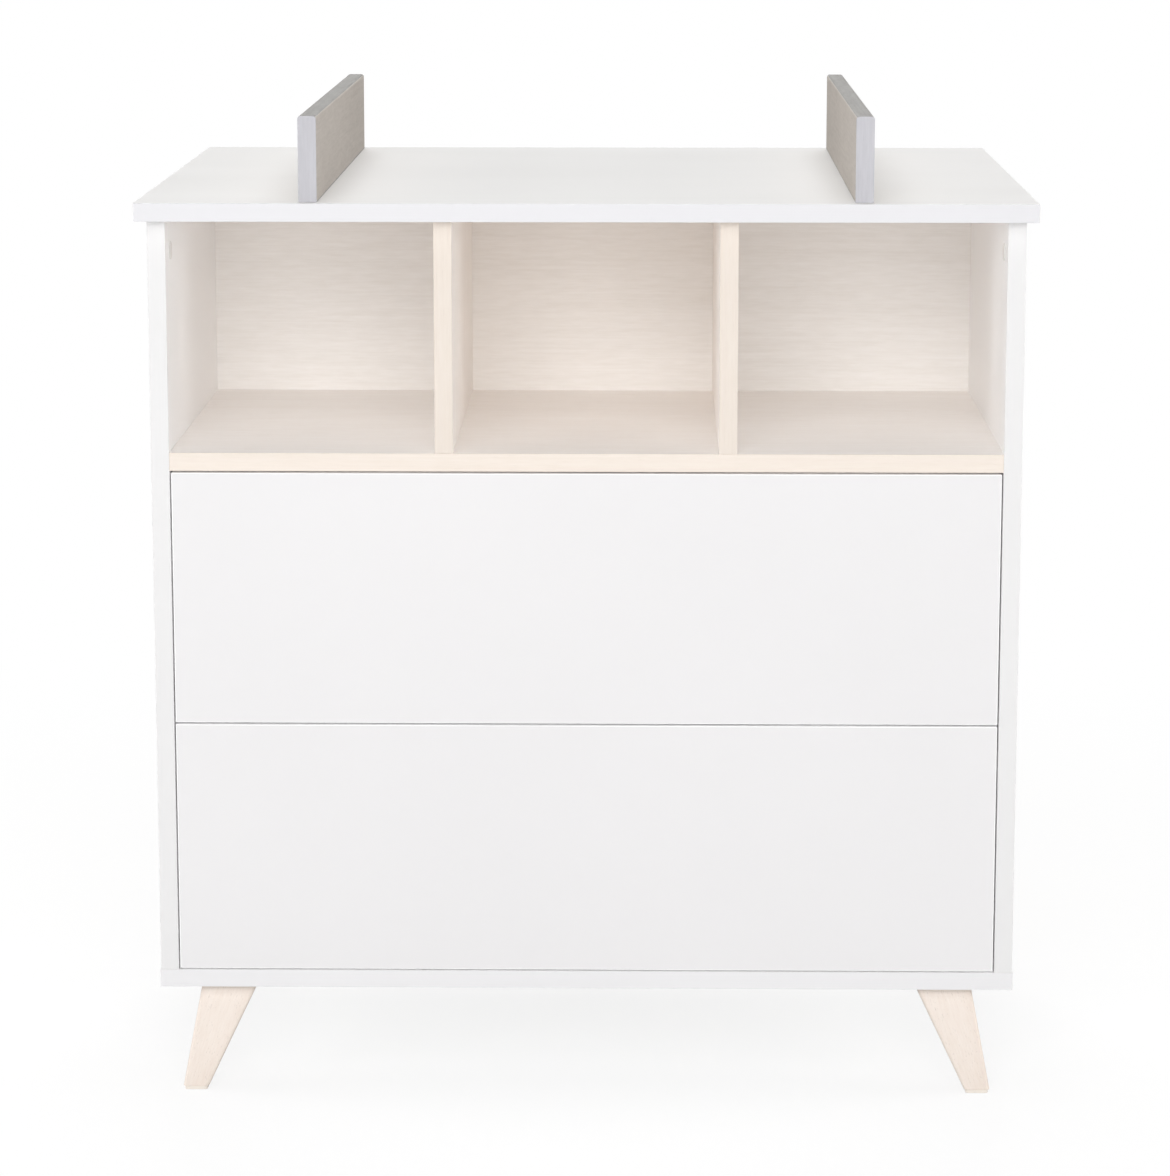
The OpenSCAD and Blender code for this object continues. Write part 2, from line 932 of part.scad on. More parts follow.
// A pair of latch housings: a base plate on the side panel and a barrel with a blind bore
module latch_housings(i) {
    bore_r = plunger_r + 2 * fit;
    barrel_u = latch_u + bore_r + latch_wall;
    base_h = latch_h + 2 * latch_base_margin;
    color(latch_grey)
        both_sides()
            difference() {
                union() {
                    block([-inner_x, latch_y0 - latch_ear, slide_z[i] - base_h / 2],
                          [-inner_x + latch_base_t, latch_y1 + latch_ear, slide_z[i] + base_h / 2]);
                    translate([-inner_x, 0, slide_z[i]])
                        along_y(latch_y0, latch_y1)
                            union() {
                                translate([0, -latch_h / 2])
                                    square([latch_u, latch_h]);
                                translate([barrel_u / 2, 0])
                                    round_rect(barrel_u, latch_h, latch_round);
                            }
                }
                translate([-inner_x + latch_u, latch_y0 - over, slide_z[i]])
                    rotate([-90, 0, 0])
                        cylinder(h = latch_len + over - latch_wall, r = bore_r);
                latch_screws(fit);
            }
}

// A pair of plungers, each a sprung rod with a soft-faced head against the drawer's strike
module latch_plungers(i) {
    color(white_board)
        both_sides()
            translate([-inner_x + latch_u, plunger_y, slide_z[i]])
                rotate([-90, 0, 0]) {
                    cylinder(h = plunger_head_t, r = plunger_head_r);
                    cylinder(h = plunger_head_t + plunger_rod_len, r = plunger_r);
                }
}

// Cams in the drawer side, along its thickness from the inner face
module at_drawer_cams() {
    for (z = drawer_fix_z)
        translate([-box_x0, box_y0 + drawer_cam_offset, z])
            rotate([0, -90, 0])
                children();
}

module drawer_bolts(play = 0) {
    end = play > 0 ? drawer_cam_offset : drawer_cam_offset - drawer_cam_r;
    for (z = drawer_fix_z)
        translate([-box_mid_x, box_y0 - drawer_bolt_bite - play, z])
            rotate([-90, 0, 0])
                cylinder(h = end + drawer_bolt_bite + play, r = drawer_bolt_r + play);
}

module drawer_back_screws(play = 0) {
    for (z = drawer_fix_z)
        translate([-box_x1, box_y1 - drawer_side_t / 2, z])
            rotate([0, 90, 0])
                wood_screw(drawer_screw_len, play);
}

module at_strikes() {
    translate([-box_mid_x, box_y1, drawer_rise + slide_rise])
        rotate([-90, 0, 0])
            children();
}

// Groove for the drawer bottom, cut into the front, the sides and the back alike
module drawer_groove() {
    block([-box_x0 - groove_depth, box_y0 - groove_depth, bottom_z - fit],
          [box_x0 + groove_depth, box_back_y + groove_depth, bottom_z + thin_t + fit]);
}

module drawer_front(i) {
    color(white_board)
        translate([0, 0, front_z[i]])
            difference() {
                block([-front_x, front_y, 0], [front_x, box_y0, front_h]);
                drawer_groove();
                both_sides()
                    drawer_bolts(fit);
            }
}

module drawer_side(i) {
    color(white_board)
        translate([0, 0, front_z[i]])
            difference() {
                block([-box_x1, box_y0, drawer_rise], [-box_x0, box_y1, drawer_rise + drawer_side_h]);
                drawer_groove();
                at_drawer_cams()
                    cam_hole(drawer_cam_r, drawer_cam_depth);
                drawer_bolts(fit);
                drawer_back_screws(fit);
                drawer_slide_screws(drawer_rise + slide_rise, fit);
                at_strikes()
                    translate([0, 0, -strike_pin_len - fit])
                        cylinder(h = strike_pin_len + over, r = strike_pin_r + fit);
            }
}

module drawer_back(i) {
    color(white_board)
        translate([0, 0, front_z[i]])
            difference() {
                block([-box_x0, box_back_y, drawer_rise], [box_x0, box_y1, drawer_rise + drawer_side_h]);
                drawer_groove();
                both_sides()
                    drawer_back_screws(fit);
            }
}

module drawer_bottom(i) {
    reach = groove_depth - fit;
    color(hardboard)
        translate([0, 0, front_z[i]])
            block([-box_x0 - reach, box_y0 - reach, bottom_z],
                  [box_x0 + reach, box_back_y + reach, bottom_z + thin_t]);
}

// A pair of steel strikes on the drawer sides' rear ends, each held by its pin
module drawer_strikes(i) {
    color(steel)
        translate([0, 0, front_z[i]])
            both_sides()
                at_strikes() {
                    linear_extrude(strike_t)
                        round_rect(drawer_side_t - 2 * strike_margin, strike_h, 2);
                    translate([0, 0, -strike_pin_len])
                        cylinder(h = strike_pin_len + strike_t / 2, r = strike_pin_r);
                }
}

module drawer_fixings(i) {
    color(zinc)
        translate([0, 0, front_z[i]])
            both_sides() {
                at_drawer_cams()
                    cam_lock(drawer_cam_r, drawer_cam_depth);
                drawer_bolts();
                drawer_back_screws();
                drawer_slide_screws(drawer_rise + slide_rise);
            }
}

worktop();
side_panel();  // side_panel_left
on_side(1) side_panel();  // side_panel_right
bottom_panel();
niche_shelf();
niche_divider();  // niche_divider_left
on_side(1) niche_divider();  // niche_divider_right
niche_back_panel();
drawer_bay_back_panel();
changing_rail();  // changing_rail_left
on_side(1) changing_rail();  // changing_rail_right
changing_rail_bolts();
threaded_inserts();
at_leg(-1, -1) leg();  // leg_front_left
at_leg(1, -1) leg();  // leg_front_right
at_leg(-1, 1) leg();  // leg_rear_left
at_leg(1, 1) leg();  // leg_rear_right
leg_bolts();
foot_glides();
wall_brackets();
cam_locks();
cam_bolts();
dowels();
base_screws();
carcass_screws();
cabinet_rail(1);  // cabinet_rail_upper_left
on_side(1) cabinet_rail(1);  // cabinet_rail_upper_right
cabinet_rail(0);  // cabinet_rail_lower_left
on_side(1) cabinet_rail(0);  // cabinet_rail_lower_right
intermediate_rail(1);  // intermediate_rail_upper_left
on_side(1) intermediate_rail(1);  // intermediate_rail_upper_right
intermediate_rail(0);  // intermediate_rail_lower_left
on_side(1) intermediate_rail(0);  // intermediate_rail_lower_right
drawer_rail(1);  // drawer_rail_upper_left
on_side(1) drawer_rail(1);  // drawer_rail_upper_right
drawer_rail(0);  // drawer_rail_lower_left
on_side(1) drawer_rail(0);  // drawer_rail_lower_right
outer_ball_cages(1);  // upper_outer_ball_cages
inner_ball_cages(1);  // upper_inner_ball_cages
outer_ball_cages(0);  // lower_outer_ball_cages
inner_ball_cages(0);  // lower_inner_ball_cages
latch_housings(1);  // upper_latch_housings
latch_housings(0);  // lower_latch_housings
latch_plungers(1);  // upper_latch_plungers
latch_plungers(0);  // lower_latch_plungers
drawer_front(1);  // upper_drawer_front
drawer_side(1);  // upper_drawer_side_left
on_side(1) drawer_side(1);  // upper_drawer_side_right
drawer_back(1);  // upper_drawer_back
drawer_bottom(1);  // upper_drawer_bottom
drawer_strikes(1);  // upper_drawer_strikes
drawer_fixings(1);  // upper_drawer_fixings
drawer_front(0);  // lower_drawer_front
drawer_side(0);  // lower_drawer_side_left
on_side(1) drawer_side(0);  // lower_drawer_side_right
drawer_back(0);  // lower_drawer_back
drawer_bottom(0);  // lower_drawer_bottom
drawer_strikes(0);  // lower_drawer_strikes
drawer_fixings(0);  // lower_drawer_fixings
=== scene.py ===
"""Dresses a changing dresser: open niches over push-to-open drawers, on splayed wooden legs.

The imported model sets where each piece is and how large. The boards get edge bands, glue lines,
a chipboard core in their bores and soft arrises. The legs are shaped from blocks, the moulded and
bent parts get rounded edges, and every other node gets its finish. Cover caps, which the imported
model doesn't have, are added inside the niches.
"""
import logging
import math
from dataclasses import dataclass, field
from enum import Enum
from typing import Callable, Iterable, Mapping, Sequence

import bpy
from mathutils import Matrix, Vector


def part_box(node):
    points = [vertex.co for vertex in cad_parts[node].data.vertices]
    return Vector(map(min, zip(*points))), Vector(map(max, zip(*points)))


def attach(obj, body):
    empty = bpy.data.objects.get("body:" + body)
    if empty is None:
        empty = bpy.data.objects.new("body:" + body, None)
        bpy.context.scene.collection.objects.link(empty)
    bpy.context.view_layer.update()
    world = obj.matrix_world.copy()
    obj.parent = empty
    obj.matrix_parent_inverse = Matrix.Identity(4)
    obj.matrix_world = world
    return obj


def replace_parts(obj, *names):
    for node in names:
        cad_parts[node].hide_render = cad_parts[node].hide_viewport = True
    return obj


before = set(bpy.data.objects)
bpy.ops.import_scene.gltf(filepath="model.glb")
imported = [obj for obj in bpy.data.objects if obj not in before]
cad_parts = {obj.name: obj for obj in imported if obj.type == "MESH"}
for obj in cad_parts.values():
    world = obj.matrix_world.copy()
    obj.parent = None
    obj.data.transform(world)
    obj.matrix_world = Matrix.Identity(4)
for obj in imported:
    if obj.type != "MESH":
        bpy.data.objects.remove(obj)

log = logging.getLogger("dresser")

MM = 0.001
FACING = 0.9  # least share of a face's normal along an axis, for a face that looks that way
Colour = tuple[float, float, float]
Point = tuple[float, float, float]
ORIGIN: Point = (0.0, 0.0, 0.0)
Piece = bpy.types.Object
Socket = bpy.types.NodeSocket
Value = Socket | float | Sequence[float]


class Axis(Enum):
    """A direction of the frame: X to the right, Y to the back and Z up."""

    X = 0
    Y = 1
    Z = 2

    def stretched(self, along: float, across: float) -> Point:
        """Scales of a pattern that is long in this direction."""
        return tuple(along if i == self.value else across for i in range(3))


class Side(Enum):
    """One side of a board's box: its axis, and whether it is the low or the high end."""

    LEFT = (Axis.X, -1)
    RIGHT = (Axis.X, 1)
    FRONT = (Axis.Y, -1)
    REAR = (Axis.Y, 1)
    BOTTOM = (Axis.Z, -1)
    TOP = (Axis.Z, 1)

    @property
    def axis(self) -> Axis:
        """The axis that the side faces along."""
        return self.value[0]

    @property
    def sign(self) -> int:
        """1 at the high end and -1 at the low end."""
        return self.value[1]

    def depth(self, point: Vector, lo: Vector, hi: Vector) -> float:
        """How far a point inside the box from lo to hi is from this side."""
        i = self.axis.value
        return hi[i] - point[i] if self.sign > 0 else point[i] - lo[i]


class Level(Enum):
    """Which of the two drawers a piece belongs to."""

    UPPER = "upper"
    LOWER = "lower"


class Pick(Enum):
    """What is picked in edit mode, in the order of Blender's three switches."""

    VERTICES = 0
    EDGES = 1
    FACES = 2


class Graph:
    """Builds the nodes of one material around its shader, or those of the world."""

    def __init__(self, owner: bpy.types.ID) -> None:
        """Opens a node tree.

        Args:
            owner: the material or world that it belongs to.
        """
        owner.use_nodes = True
        self.tree = owner.node_tree
        self.shader = self.tree.nodes.get("Principled BSDF")

    def feed(self, target: Socket, value: Value) -> None:
        """Links a node's output to an input, or gives the input a value.

        Args:
            target: the input.
            value: the output or the value.
        """
        if isinstance(value, Socket):
            self.tree.links.new(value, target)
        else:
            target.default_value = value

    def node(
        self, kind: str, inputs: Mapping[str | int, Value] | None = None, **settings: object
    ) -> bpy.types.Node:
        """Adds a node.

        Args:
            kind: the node's type.
            inputs: what it is fed with, by the input's name or number.
            **settings: its properties.

        Returns:
            The node.
        """
        made = self.tree.nodes.new(kind)
        for name, value in settings.items():
            setattr(made, name, value)
        for key, value in (inputs or {}).items():
            self.feed(made.inputs[key], value)
        return made

    def place(
        self, scale: Point = (1.0, 1.0, 1.0), turn: Point = ORIGIN, centre: Point = ORIGIN
    ) -> Socket:
        """Object coordinates, turned back about a centre and then scaled.

        Args:
            scale: the scale on each axis.
            turn: the turn of the pattern, as Euler angles.
            centre: the point that it turns about.

        Returns:
            The vector socket.
        """
        source = self.node("ShaderNodeTexCoord").outputs["Object"]
        if any(turn) or any(centre):
            turned = {"Vector": source, "Location": centre, "Rotation": turn}
            source = self.node("ShaderNodeMapping", turned, vector_type="TEXTURE").outputs[0]
        scaled = {"Vector": source, "Scale": scale}
        return self.node("ShaderNodeMapping", scaled, vector_type="POINT").outputs[0]

    def noise(
        self,
        vector: Socket,
        scale: float = 1.0,
        detail: float = 4.0,
        roughness: float = 0.5,
        distortion: float = 0.0,
    ) -> Socket:
        """Noise on a vector, with detail counting its finer layers and roughness their strength."""
        layers = {"Detail": detail, "Roughness": roughness, "Distortion": distortion}
        return self.node("ShaderNodeTexNoise", {"Vector": vector, "Scale": scale} | layers).outputs[0]

    def cells(self, vector: Socket, scale: float) -> Socket:
        """A random value for each cell of a broken-up surface, such as flakes or crystals.

        Args:
            vector: the coordinates.
            scale: cells per metre.

        Returns:
            The value socket.
        """
        made = self.node("ShaderNodeTexVoronoi", {"Vector": vector, "Scale": scale})
        split = self.node("ShaderNodeSeparateColor", {"Color": made.outputs["Color"]})
        return split.outputs["Red"]

    def maths(self, operation: str, a: Socket | float, b: Socket | float) -> Socket:
        """Works out a value from two, with the operation of that name."""
        return self.node("ShaderNodeMath", {0: a, 1: b}, operation=operation).outputs[0]

    def spread(
        self, value: Socket, low: float, high: float, to_low: float = 0.0, to_high: float = 1.0
    ) -> Socket:
        """Maps a range of values to another, with its ends held."""
        ends = {"From Min": low, "From Max": high, "To Min": to_low, "To Max": to_high}
        return self.node("ShaderNodeMapRange", {"Value": value, **ends}).outputs["Result"]

    def blend(self, *parts: tuple[Socket, float]) -> Socket:
        """Adds up several values.

        Args:
            *parts: each value and its share.

        Returns:
            The value socket.
        """
        total: Socket | float = 0.0
        for value, share in parts:
            total = self.maths("ADD", total, self.maths("MULTIPLY", value, share))
        return total

    def fold(self, value: Socket, rings: float) -> Socket:
        """Folds a slow value back and forth into rings."""
        return self.maths("PINGPONG", self.maths("MULTIPLY", value, rings), 1.0)

    def tint(self, value: Socket, a: Socket | Colour, b: Socket | Colour) -> Socket:
        """Mixes two colours, the first at 0 and the second at 1."""
        a, b = (colour if isinstance(colour, Socket) else (*colour, 1.0) for colour in (a, b))
        return self.node("ShaderNodeMix", {0: value, 6: a, 7: b}, data_type="RGBA").outputs[2]

    def relief(self, height: Socket, depth: float, strength: float) -> None:
        """Gives the shader a relief, whose full height is the depth in metres."""
        inputs = {"Height": height, "Distance": depth, "Strength": strength}
        self.set("Normal", self.node("ShaderNodeBump", inputs).outputs["Normal"])

    def set(self, name: str, value: Value) -> None:
        """Feeds the shader's input of that name."""
        self.feed(self.shader.inputs[name], value)

    def gloss(self, value: Socket, low: float, high: float, fine: float, rough: float) -> None:
        """Feeds the shader's roughness, from fine to rough over a range of values."""
        self.set("Roughness", self.spread(value, low, high, fine, rough))


def shade(colour: Colour, factor: float) -> Colour:
    """A colour made lighter or darker by a factor."""
    return tuple(min(1.0, c * factor) for c in colour)


@dataclass(frozen=True)
class Finish:
    """A finish, which makes its material the first time that it is asked for.

    Attributes:
        name: the material's name.
        colour: its main colour.
        roughness: its middle roughness.
    """

    name: str
    colour: Colour
    roughness: float = 0.45

    def material(self) -> bpy.types.Material:
        """Gives the finish's material.

        Returns:
            The material, made the first time and found again later.
        """
        made = bpy.data.materials.get(self.name)
        if made is None:
            made = bpy.data.materials.new(self.name)
            self.paint(Graph(made))
        return made

    def paint(self, graph: Graph) -> None:
        """Builds the material's nodes in its graph."""
        raise NotImplementedError

    def tones(self, graph: Graph, value: Socket, darker: float, lighter: float) -> Socket:
        """The finish's colour, from darker to lighter as a value rises."""
        return graph.tint(value, shade(self.colour, darker), shade(self.colour, lighter))


@dataclass(frozen=True)
class Melamine(Finish):
    """Melamine paper pressed on a board, with the fine pearl of its press plate.

    Attributes:
        pearl: bumps per metre of the pearl.
        variation: how far the colour drifts over the board.
        shine: strength of its reflections.
    """

    pearl: float = 1100.0
    variation: float = 0.012
    shine: float = 0.12

    def paint(self, graph: Graph) -> None:
        """Builds an even colour with a faint drift, a fine pearl and an uneven gloss.

        Args:
            graph: the material's graph.
        """
        flat = graph.place()
        drift = graph.spread(graph.noise(flat, 3.1, 3.0), 0.3, 0.7)
        darker, lighter = 1.0 - self.variation, 1.0 + self.variation / 2
        graph.set("Base Color", self.tones(graph, drift, darker, lighter))
        pearl = graph.noise(flat, self.pearl, 2.0, 0.6)
        smear = graph.noise(graph.place((2.0, 9.0, 9.0)), 1.0, 4.0, 0.6)
        graph.gloss(smear, 0.25, 0.75, self.roughness - 0.05, self.roughness + 0.07)
        graph.relief(pearl, 0.02 * MM, 0.6)
        graph.set("Specular IOR Level", self.shine)


@dataclass(frozen=True)
class EdgeBand(Finish):
    """Plastic edge band, with the faint lines that its scraper leaves along it.

    Attributes:
        run: the direction that the band runs in.
        shine: strength of its reflections.
    """

    run: Axis = Axis.X
    shine: float = 0.2

    def paint(self, graph: Graph) -> None:
        """Builds an even colour with fine scraper lines.

        Args:
            graph: the material's graph.
        """
        lines = graph.noise(graph.place(self.run.stretched(2.0, 1400.0)), 1.0, 2.0, 0.6)
        both = graph.maths("MULTIPLY", lines, graph.noise(graph.place(), 6.0, 2.0))
        graph.set("Base Color", self.tones(graph, graph.spread(both, 0.1, 0.4), 0.985, 1.01))
        graph.gloss(lines, 0.3, 0.7, self.roughness - 0.04, self.roughness + 0.05)
        graph.relief(lines, 0.01 * MM, 0.5)
        graph.set("Specular IOR Level", self.shine)


def wood_print(
    graph: Graph, rings: Socket, grain: Axis, centre: Point = ORIGIN
) -> tuple[Socket, Socket]:
    """Prints fine streaks and short flakes along the grain, over slow rings.

    Args:
        graph: the material's graph.
        rings: the rings.
        grain: the direction of the grain.
        centre: a point that shifts the pattern.

    Returns:
        The whole pattern, from 0 in early wood to 1 in late wood, and its streaks.
    """
    streaks, flakes = (
        graph.noise(graph.place(grain.stretched(along, across), centre=centre), 1.0, *layers)
        for along, across, *layers in ((5.0, 420.0, 5.0, 0.65), (38.0, 330.0, 3.0, 0.6))
    )
    body = graph.blend(
        (rings, 0.2),
        (graph.spread(streaks, 0.3, 0.7), 0.4),
        (graph.spread(flakes, 0.35, 0.65), 0.4),
    )
    return body, streaks


@dataclass(frozen=True)
class WoodDecor(Finish):
    """Printed wood decor: faint rings, fine streaks, short flakes and pores along the grain.

    Attributes:
        dark: the colour of the late wood.
        grain: the direction of the grain.
        ring: rings per metre across the grain.
        pores: how dark the pores are.
        centre: a point that shifts the pattern, so that no two boards are alike.
        shine: strength of its reflections.
    """

    dark: Colour = (0.7, 0.62, 0.54)
    grain: Axis = Axis.X
    ring: float = 22.0
    pores: float = 0.14
    centre: Point = ORIGIN
    shine: float = 0.12

    def paint(self, graph: Graph) -> None:
        """Builds the grain, and a relief that follows its pores.

        Args:
            graph: the material's graph.
        """
        across = self.grain.stretched(1.1, 9.0)
        flow = graph.noise(graph.place(across, centre=self.centre), 1.0, 3.0, 0.5, 0.4)
        rings = graph.spread(graph.fold(flow, self.ring), 0.1, 1.0)
        body, streaks = wood_print(graph, rings, self.grain, self.centre)
        wood = graph.tint(body, self.colour, self.dark)
        along = self.grain.stretched(55.0, 1500.0)
        dashes = graph.noise(graph.place(along, centre=self.centre), 1.0, 2.0, 0.5)
        shares = graph.spread(dashes, 0.6, 0.7), graph.spread(streaks, 0.4, 0.6)
        pore = graph.maths("MULTIPLY", *shares)
        shown = graph.maths("MULTIPLY", pore, self.pores)
        graph.set("Base Color", graph.tint(shown, wood, shade(self.dark, 0.45)))
        graph.gloss(body, 0.1, 0.9, self.roughness - 0.06, self.roughness + 0.06)
        graph.relief(graph.maths("SUBTRACT", 1.0, pore), 0.05 * MM, 0.5)
        graph.set("Specular IOR Level", self.shine)


@dataclass(frozen=True)
class SolidWood(Finish):
    """Clear-lacquered beech, with its grain along a leaning leg and its short dark flecks.

    Attributes:
        dark: the colour of the late wood.
        lean: the direction of the grain.
        centre: the point that the pattern is centred on.
    """

    dark: Colour = (0.8, 0.66, 0.54)
    lean: Point = (0.0, 0.0, 1.0)
    centre: Point = ORIGIN

    def paint(self, graph: Graph) -> None:
        """Builds slow rings, streaks and flecks that lie along the leg.

        Args:
            graph: the material's graph.
        """
        turn = tuple(Vector((0.0, 0.0, 1.0)).rotation_difference(Vector(self.lean)).to_euler())
        flow, streaks, flecks = (
            graph.noise(graph.place((across, across, along), turn, self.centre), 1.0, *layers)
            for across, along, *layers in (
                (16.0, 3.0, 2.0, 0.4),
                (600.0, 14.0, 4.0, 0.6),
                (950.0, 190.0, 1.0, 0.5),
            )
        )
        body = graph.blend((graph.fold(flow, 9.0), 0.5), (graph.spread(streaks, 0.3, 0.7), 0.5))
        wood = graph.tint(body, self.colour, self.dark)
        fleck = graph.maths("MULTIPLY", graph.spread(flecks, 0.66, 0.74), 0.35)
        graph.set("Base Color", graph.tint(fleck, wood, shade(self.dark, 0.6)))
        graph.gloss(streaks, 0.3, 0.7, self.roughness - 0.05, self.roughness + 0.06)
        graph.relief(streaks, 0.03 * MM, 0.35)
        graph.set("Coat Weight", 0.12)
        graph.set("Coat Roughness", 0.3)


@dataclass(frozen=True)
class Chipboard(Finish):
    """The pressed flakes that show in a board's bores, grooves and raw edges."""

    def paint(self, graph: Graph) -> None:
        """Builds flakes of several tones with a rough relief.

        Args:
            graph: the material's graph.
        """
        flat = graph.place((1.0, 1.0, 1.6))
        flakes = graph.cells(flat, 700.0)
        grit = graph.noise(flat, 2200.0, 3.0)
        wood = self.tones(graph, flakes, 0.72, 1.2)
        gaps = graph.spread(grit, 0.35, 0.75, 0.0, 0.4)
        graph.set("Base Color", graph.tint(gaps, wood, shade(self.colour, 0.5)))
        graph.gloss(grit, 0.2, 0.8, self.roughness, 0.95)
        graph.relief(graph.maths("ADD", flakes, grit), 0.15 * MM, 0.7)


FIBRE = (0.42, 0.3, 0.19)


@dataclass(frozen=True)
class Hardboard(Finish):
    """Thin fibreboard with a faced front and a raw, pressed back.

    Attributes:
        fibre: the colour of the raw back.
        split: where the face ends and the raw back starts, in metres along Y.
        dark: the colour of the late wood of a decor face, or none for a plain face.
        shine: strength of its reflections.
    """

    fibre: Colour = FIBRE
    split: float = 0.0
    dark: Colour | None = None
    shine: float = 0.15

    def paint(self, graph: Graph) -> None:
        """Builds the face on the front of the board and bare fibre on its back.

        Args:
            graph: the material's graph.
        """
        flat = graph.place()
        if self.dark is None:
            drift = graph.spread(graph.noise(flat, 4.0, 3.0), 0.3, 0.7)
            face = self.tones(graph, drift, 0.985, 1.0)
            relief = graph.noise(flat, 900.0, 2.0)
        else:
            flow = graph.noise(graph.place((1.0, 9.0, 9.0)), 1.0, 3.0, 0.5, 0.4)
            body, relief = wood_print(graph, graph.fold(flow, 24.0), Axis.X)
            face = graph.tint(body, self.colour, self.dark)
        fuzz = graph.noise(graph.place((60.0, 60.0, 260.0)), 1.0, 6.0, 0.7)
        specks = graph.cells(flat, 900.0)
        both = graph.maths("MULTIPLY", graph.spread(fuzz, 0.25, 0.75), specks)
        raw = graph.tint(both, shade(self.fibre, 0.86), shade(self.fibre, 1.25))
        axes = graph.node("ShaderNodeSeparateXYZ", {"Vector": flat})
        behind = graph.maths("GREATER_THAN", axes.outputs["Y"], self.split)
        graph.set("Base Color", graph.tint(behind, face, raw))
        graph.gloss(behind, 0.0, 1.0, self.roughness, 0.75)
        graph.relief(graph.maths("ADD", relief, fuzz), 0.03 * MM, 0.5)
        graph.set("Specular IOR Level", self.shine)


@dataclass(frozen=True)
class Metal(Finish):
    """Rolled or cast metal.

    Attributes:
        rolled: the direction of the rolling lines, or none for a casting.
        spangle: crystals per metre.
    """

    rolled: Axis | None = Axis.Y
    spangle: float = 260.0

    def paint(self, graph: Graph) -> None:
        """Builds a grey with crystals and rolling lines in its gloss.

        Args:
            graph: the material's graph.
        """
        flat = graph.place()
        crystals = graph.cells(flat, self.spangle)
        lines = graph.noise(
            graph.place(self.rolled.stretched(4.0, 900.0)) if self.rolled else flat,
            1.0 if self.rolled else 1500.0,
            3.0,
        )
        both = graph.blend((crystals, 0.35), (lines, 0.65))
        graph.set("Base Color", self.tones(graph, both, 0.9, 1.08))
        graph.gloss(both, 0.2, 0.8, self.roughness - 0.07, self.roughness + 0.1)
        graph.relief(lines, 0.02 * MM, 0.4)
        graph.set("Metallic", 1.0)


@dataclass(frozen=True)
class Moulding(Finish):
    """Moulded plastic or powder coat, with a fine eroded texture.

    Attributes:
        texture: bumps per metre.
    """

    texture: float = 1600.0

    def paint(self, graph: Graph) -> None:
        """Builds an even colour with a fine texture.

        Args:
            graph: the material's graph.
        """
        flat = graph.place()
        grain = graph.noise(flat, self.texture, 2.0)
        drift = graph.spread(graph.noise(flat, 40.0, 2.0), 0.3, 0.7)
        graph.set("Base Color", self.tones(graph, drift, 0.96, 1.02))
        graph.gloss(grain, 0.3, 0.7, self.roughness - 0.04, self.roughness + 0.06)
        graph.relief(grain, 0.03 * MM, 0.5)


CORE = Chipboard("chipboard_core", (0.52, 0.4, 0.27), 0.8)
GLUE = Moulding("glue_line", (0.62, 0.6, 0.57), 0.5)
# One white melamine in three tones: the drawer fronts darker as painted shade against the front
# lamps, the carcass's inward faces lighter as painted light against the shade inside
WHITE_FACE = Melamine("white_melamine_face", (0.82, 0.812, 0.8), 0.55)
WHITE_INNER_PAINTED_LIGHT = Melamine("white_inner_face_painted_light", (0.955, 0.953, 0.955), 0.45, shine=0.4)
WHITE_FRONT = Melamine("white_front_face", (0.766, 0.757, 0.762), 0.45)
# One white edge band in five tones by where it sits, lighter or darker as painted light and shade:
# lightest round the drawer fronts, darkest on the worktop's front and rear edges
WHITE_BAND_X = EdgeBand("white_band_across", (0.715, 0.711, 0.73), 0.45, Axis.X)
WHITE_BAND_BASE = EdgeBand("white_band_base", (0.775, 0.77, 0.779), 0.45, Axis.X)
WHITE_BAND_Y = EdgeBand("white_band_along", (0.8, 0.795, 0.79), 0.45, Axis.Y)
WHITE_BAND_Z = EdgeBand("white_band_upright", (0.755, 0.75, 0.75), 0.45, Axis.Z)
WHITE_EDGE = EdgeBand("white_front_edge", (0.94, 0.937, 0.94), 0.45, Axis.X)
# The oak decor faces, the niche back's among them, are written lighter than the oak bands, as painted
# light against the shade inside the niches
OAK_LIGHT = (0.985, 0.955, 0.93)
OAK_DARK = (0.915, 0.875, 0.84)
OAK_BACK_LIGHT = (0.93, 0.915, 0.9)
OAK_BACK_DARK = (0.845, 0.823, 0.795)
OAK_EDGE_LIGHT = (0.8, 0.728, 0.662)
OAK_EDGE_DARK = (0.76, 0.68, 0.605)
DRAWER_BOTTOM = Melamine("white_drawer_bottom", (0.86, 0.86, 0.85), 0.5, pearl=700.0)
CAP_WHITE = Moulding("cap_plastic", (0.8, 0.785, 0.765), 0.45)
STEEL = Metal("zinc_plated_steel", (0.66, 0.67, 0.69), 0.3, Axis.Y)
CAGE = Metal("cage_and_balls", (0.56, 0.56, 0.57), 0.26, Axis.Y, spangle=500.0)
CAST = Metal("cast_zinc", (0.6, 0.6, 0.59), 0.42, rolled=None, spangle=900.0)
COATED = Moulding("white_powder_coat", (0.84, 0.84, 0.84), 0.4, texture=1200.0)
LATCH_GREY = Moulding("grey_moulding", (0.5, 0.51, 0.52), 0.45)
PLUNGER_WHITE = Moulding("white_moulding", (0.84, 0.84, 0.83), 0.38)
NYLON = Moulding("pale_nylon", (0.84, 0.78, 0.71), 0.5)
DOWEL = WoodDecor("fluted_dowel", (0.78, 0.66, 0.5), 0.6, (0.66, 0.52, 0.37), ring=60.0, pores=0.2)


def oak(name: str, grain: Axis, centre: Point) -> WoodDecor:
    """Pale oak decor for one board, lightened as painted light against the niches' shade, with a
    point that makes its pattern its own.
    """
    return WoodDecor(name, OAK_LIGHT, 0.5, OAK_DARK, grain, centre=centre, shine=0.4)


def oak_band(name: str, grain: Axis, centre: Point, tone: float) -> WoodDecor:
    """The edge band of an oak board, creamier and darker than the lightened faces, as light as its
    tone says; the tone lightens or darkens it as painted light and shade.
    """
    light, dark = (shade(colour, tone) for colour in (OAK_EDGE_LIGHT, OAK_EDGE_DARK))
    return WoodDecor(name, light, 0.5, dark, grain, centre=centre)


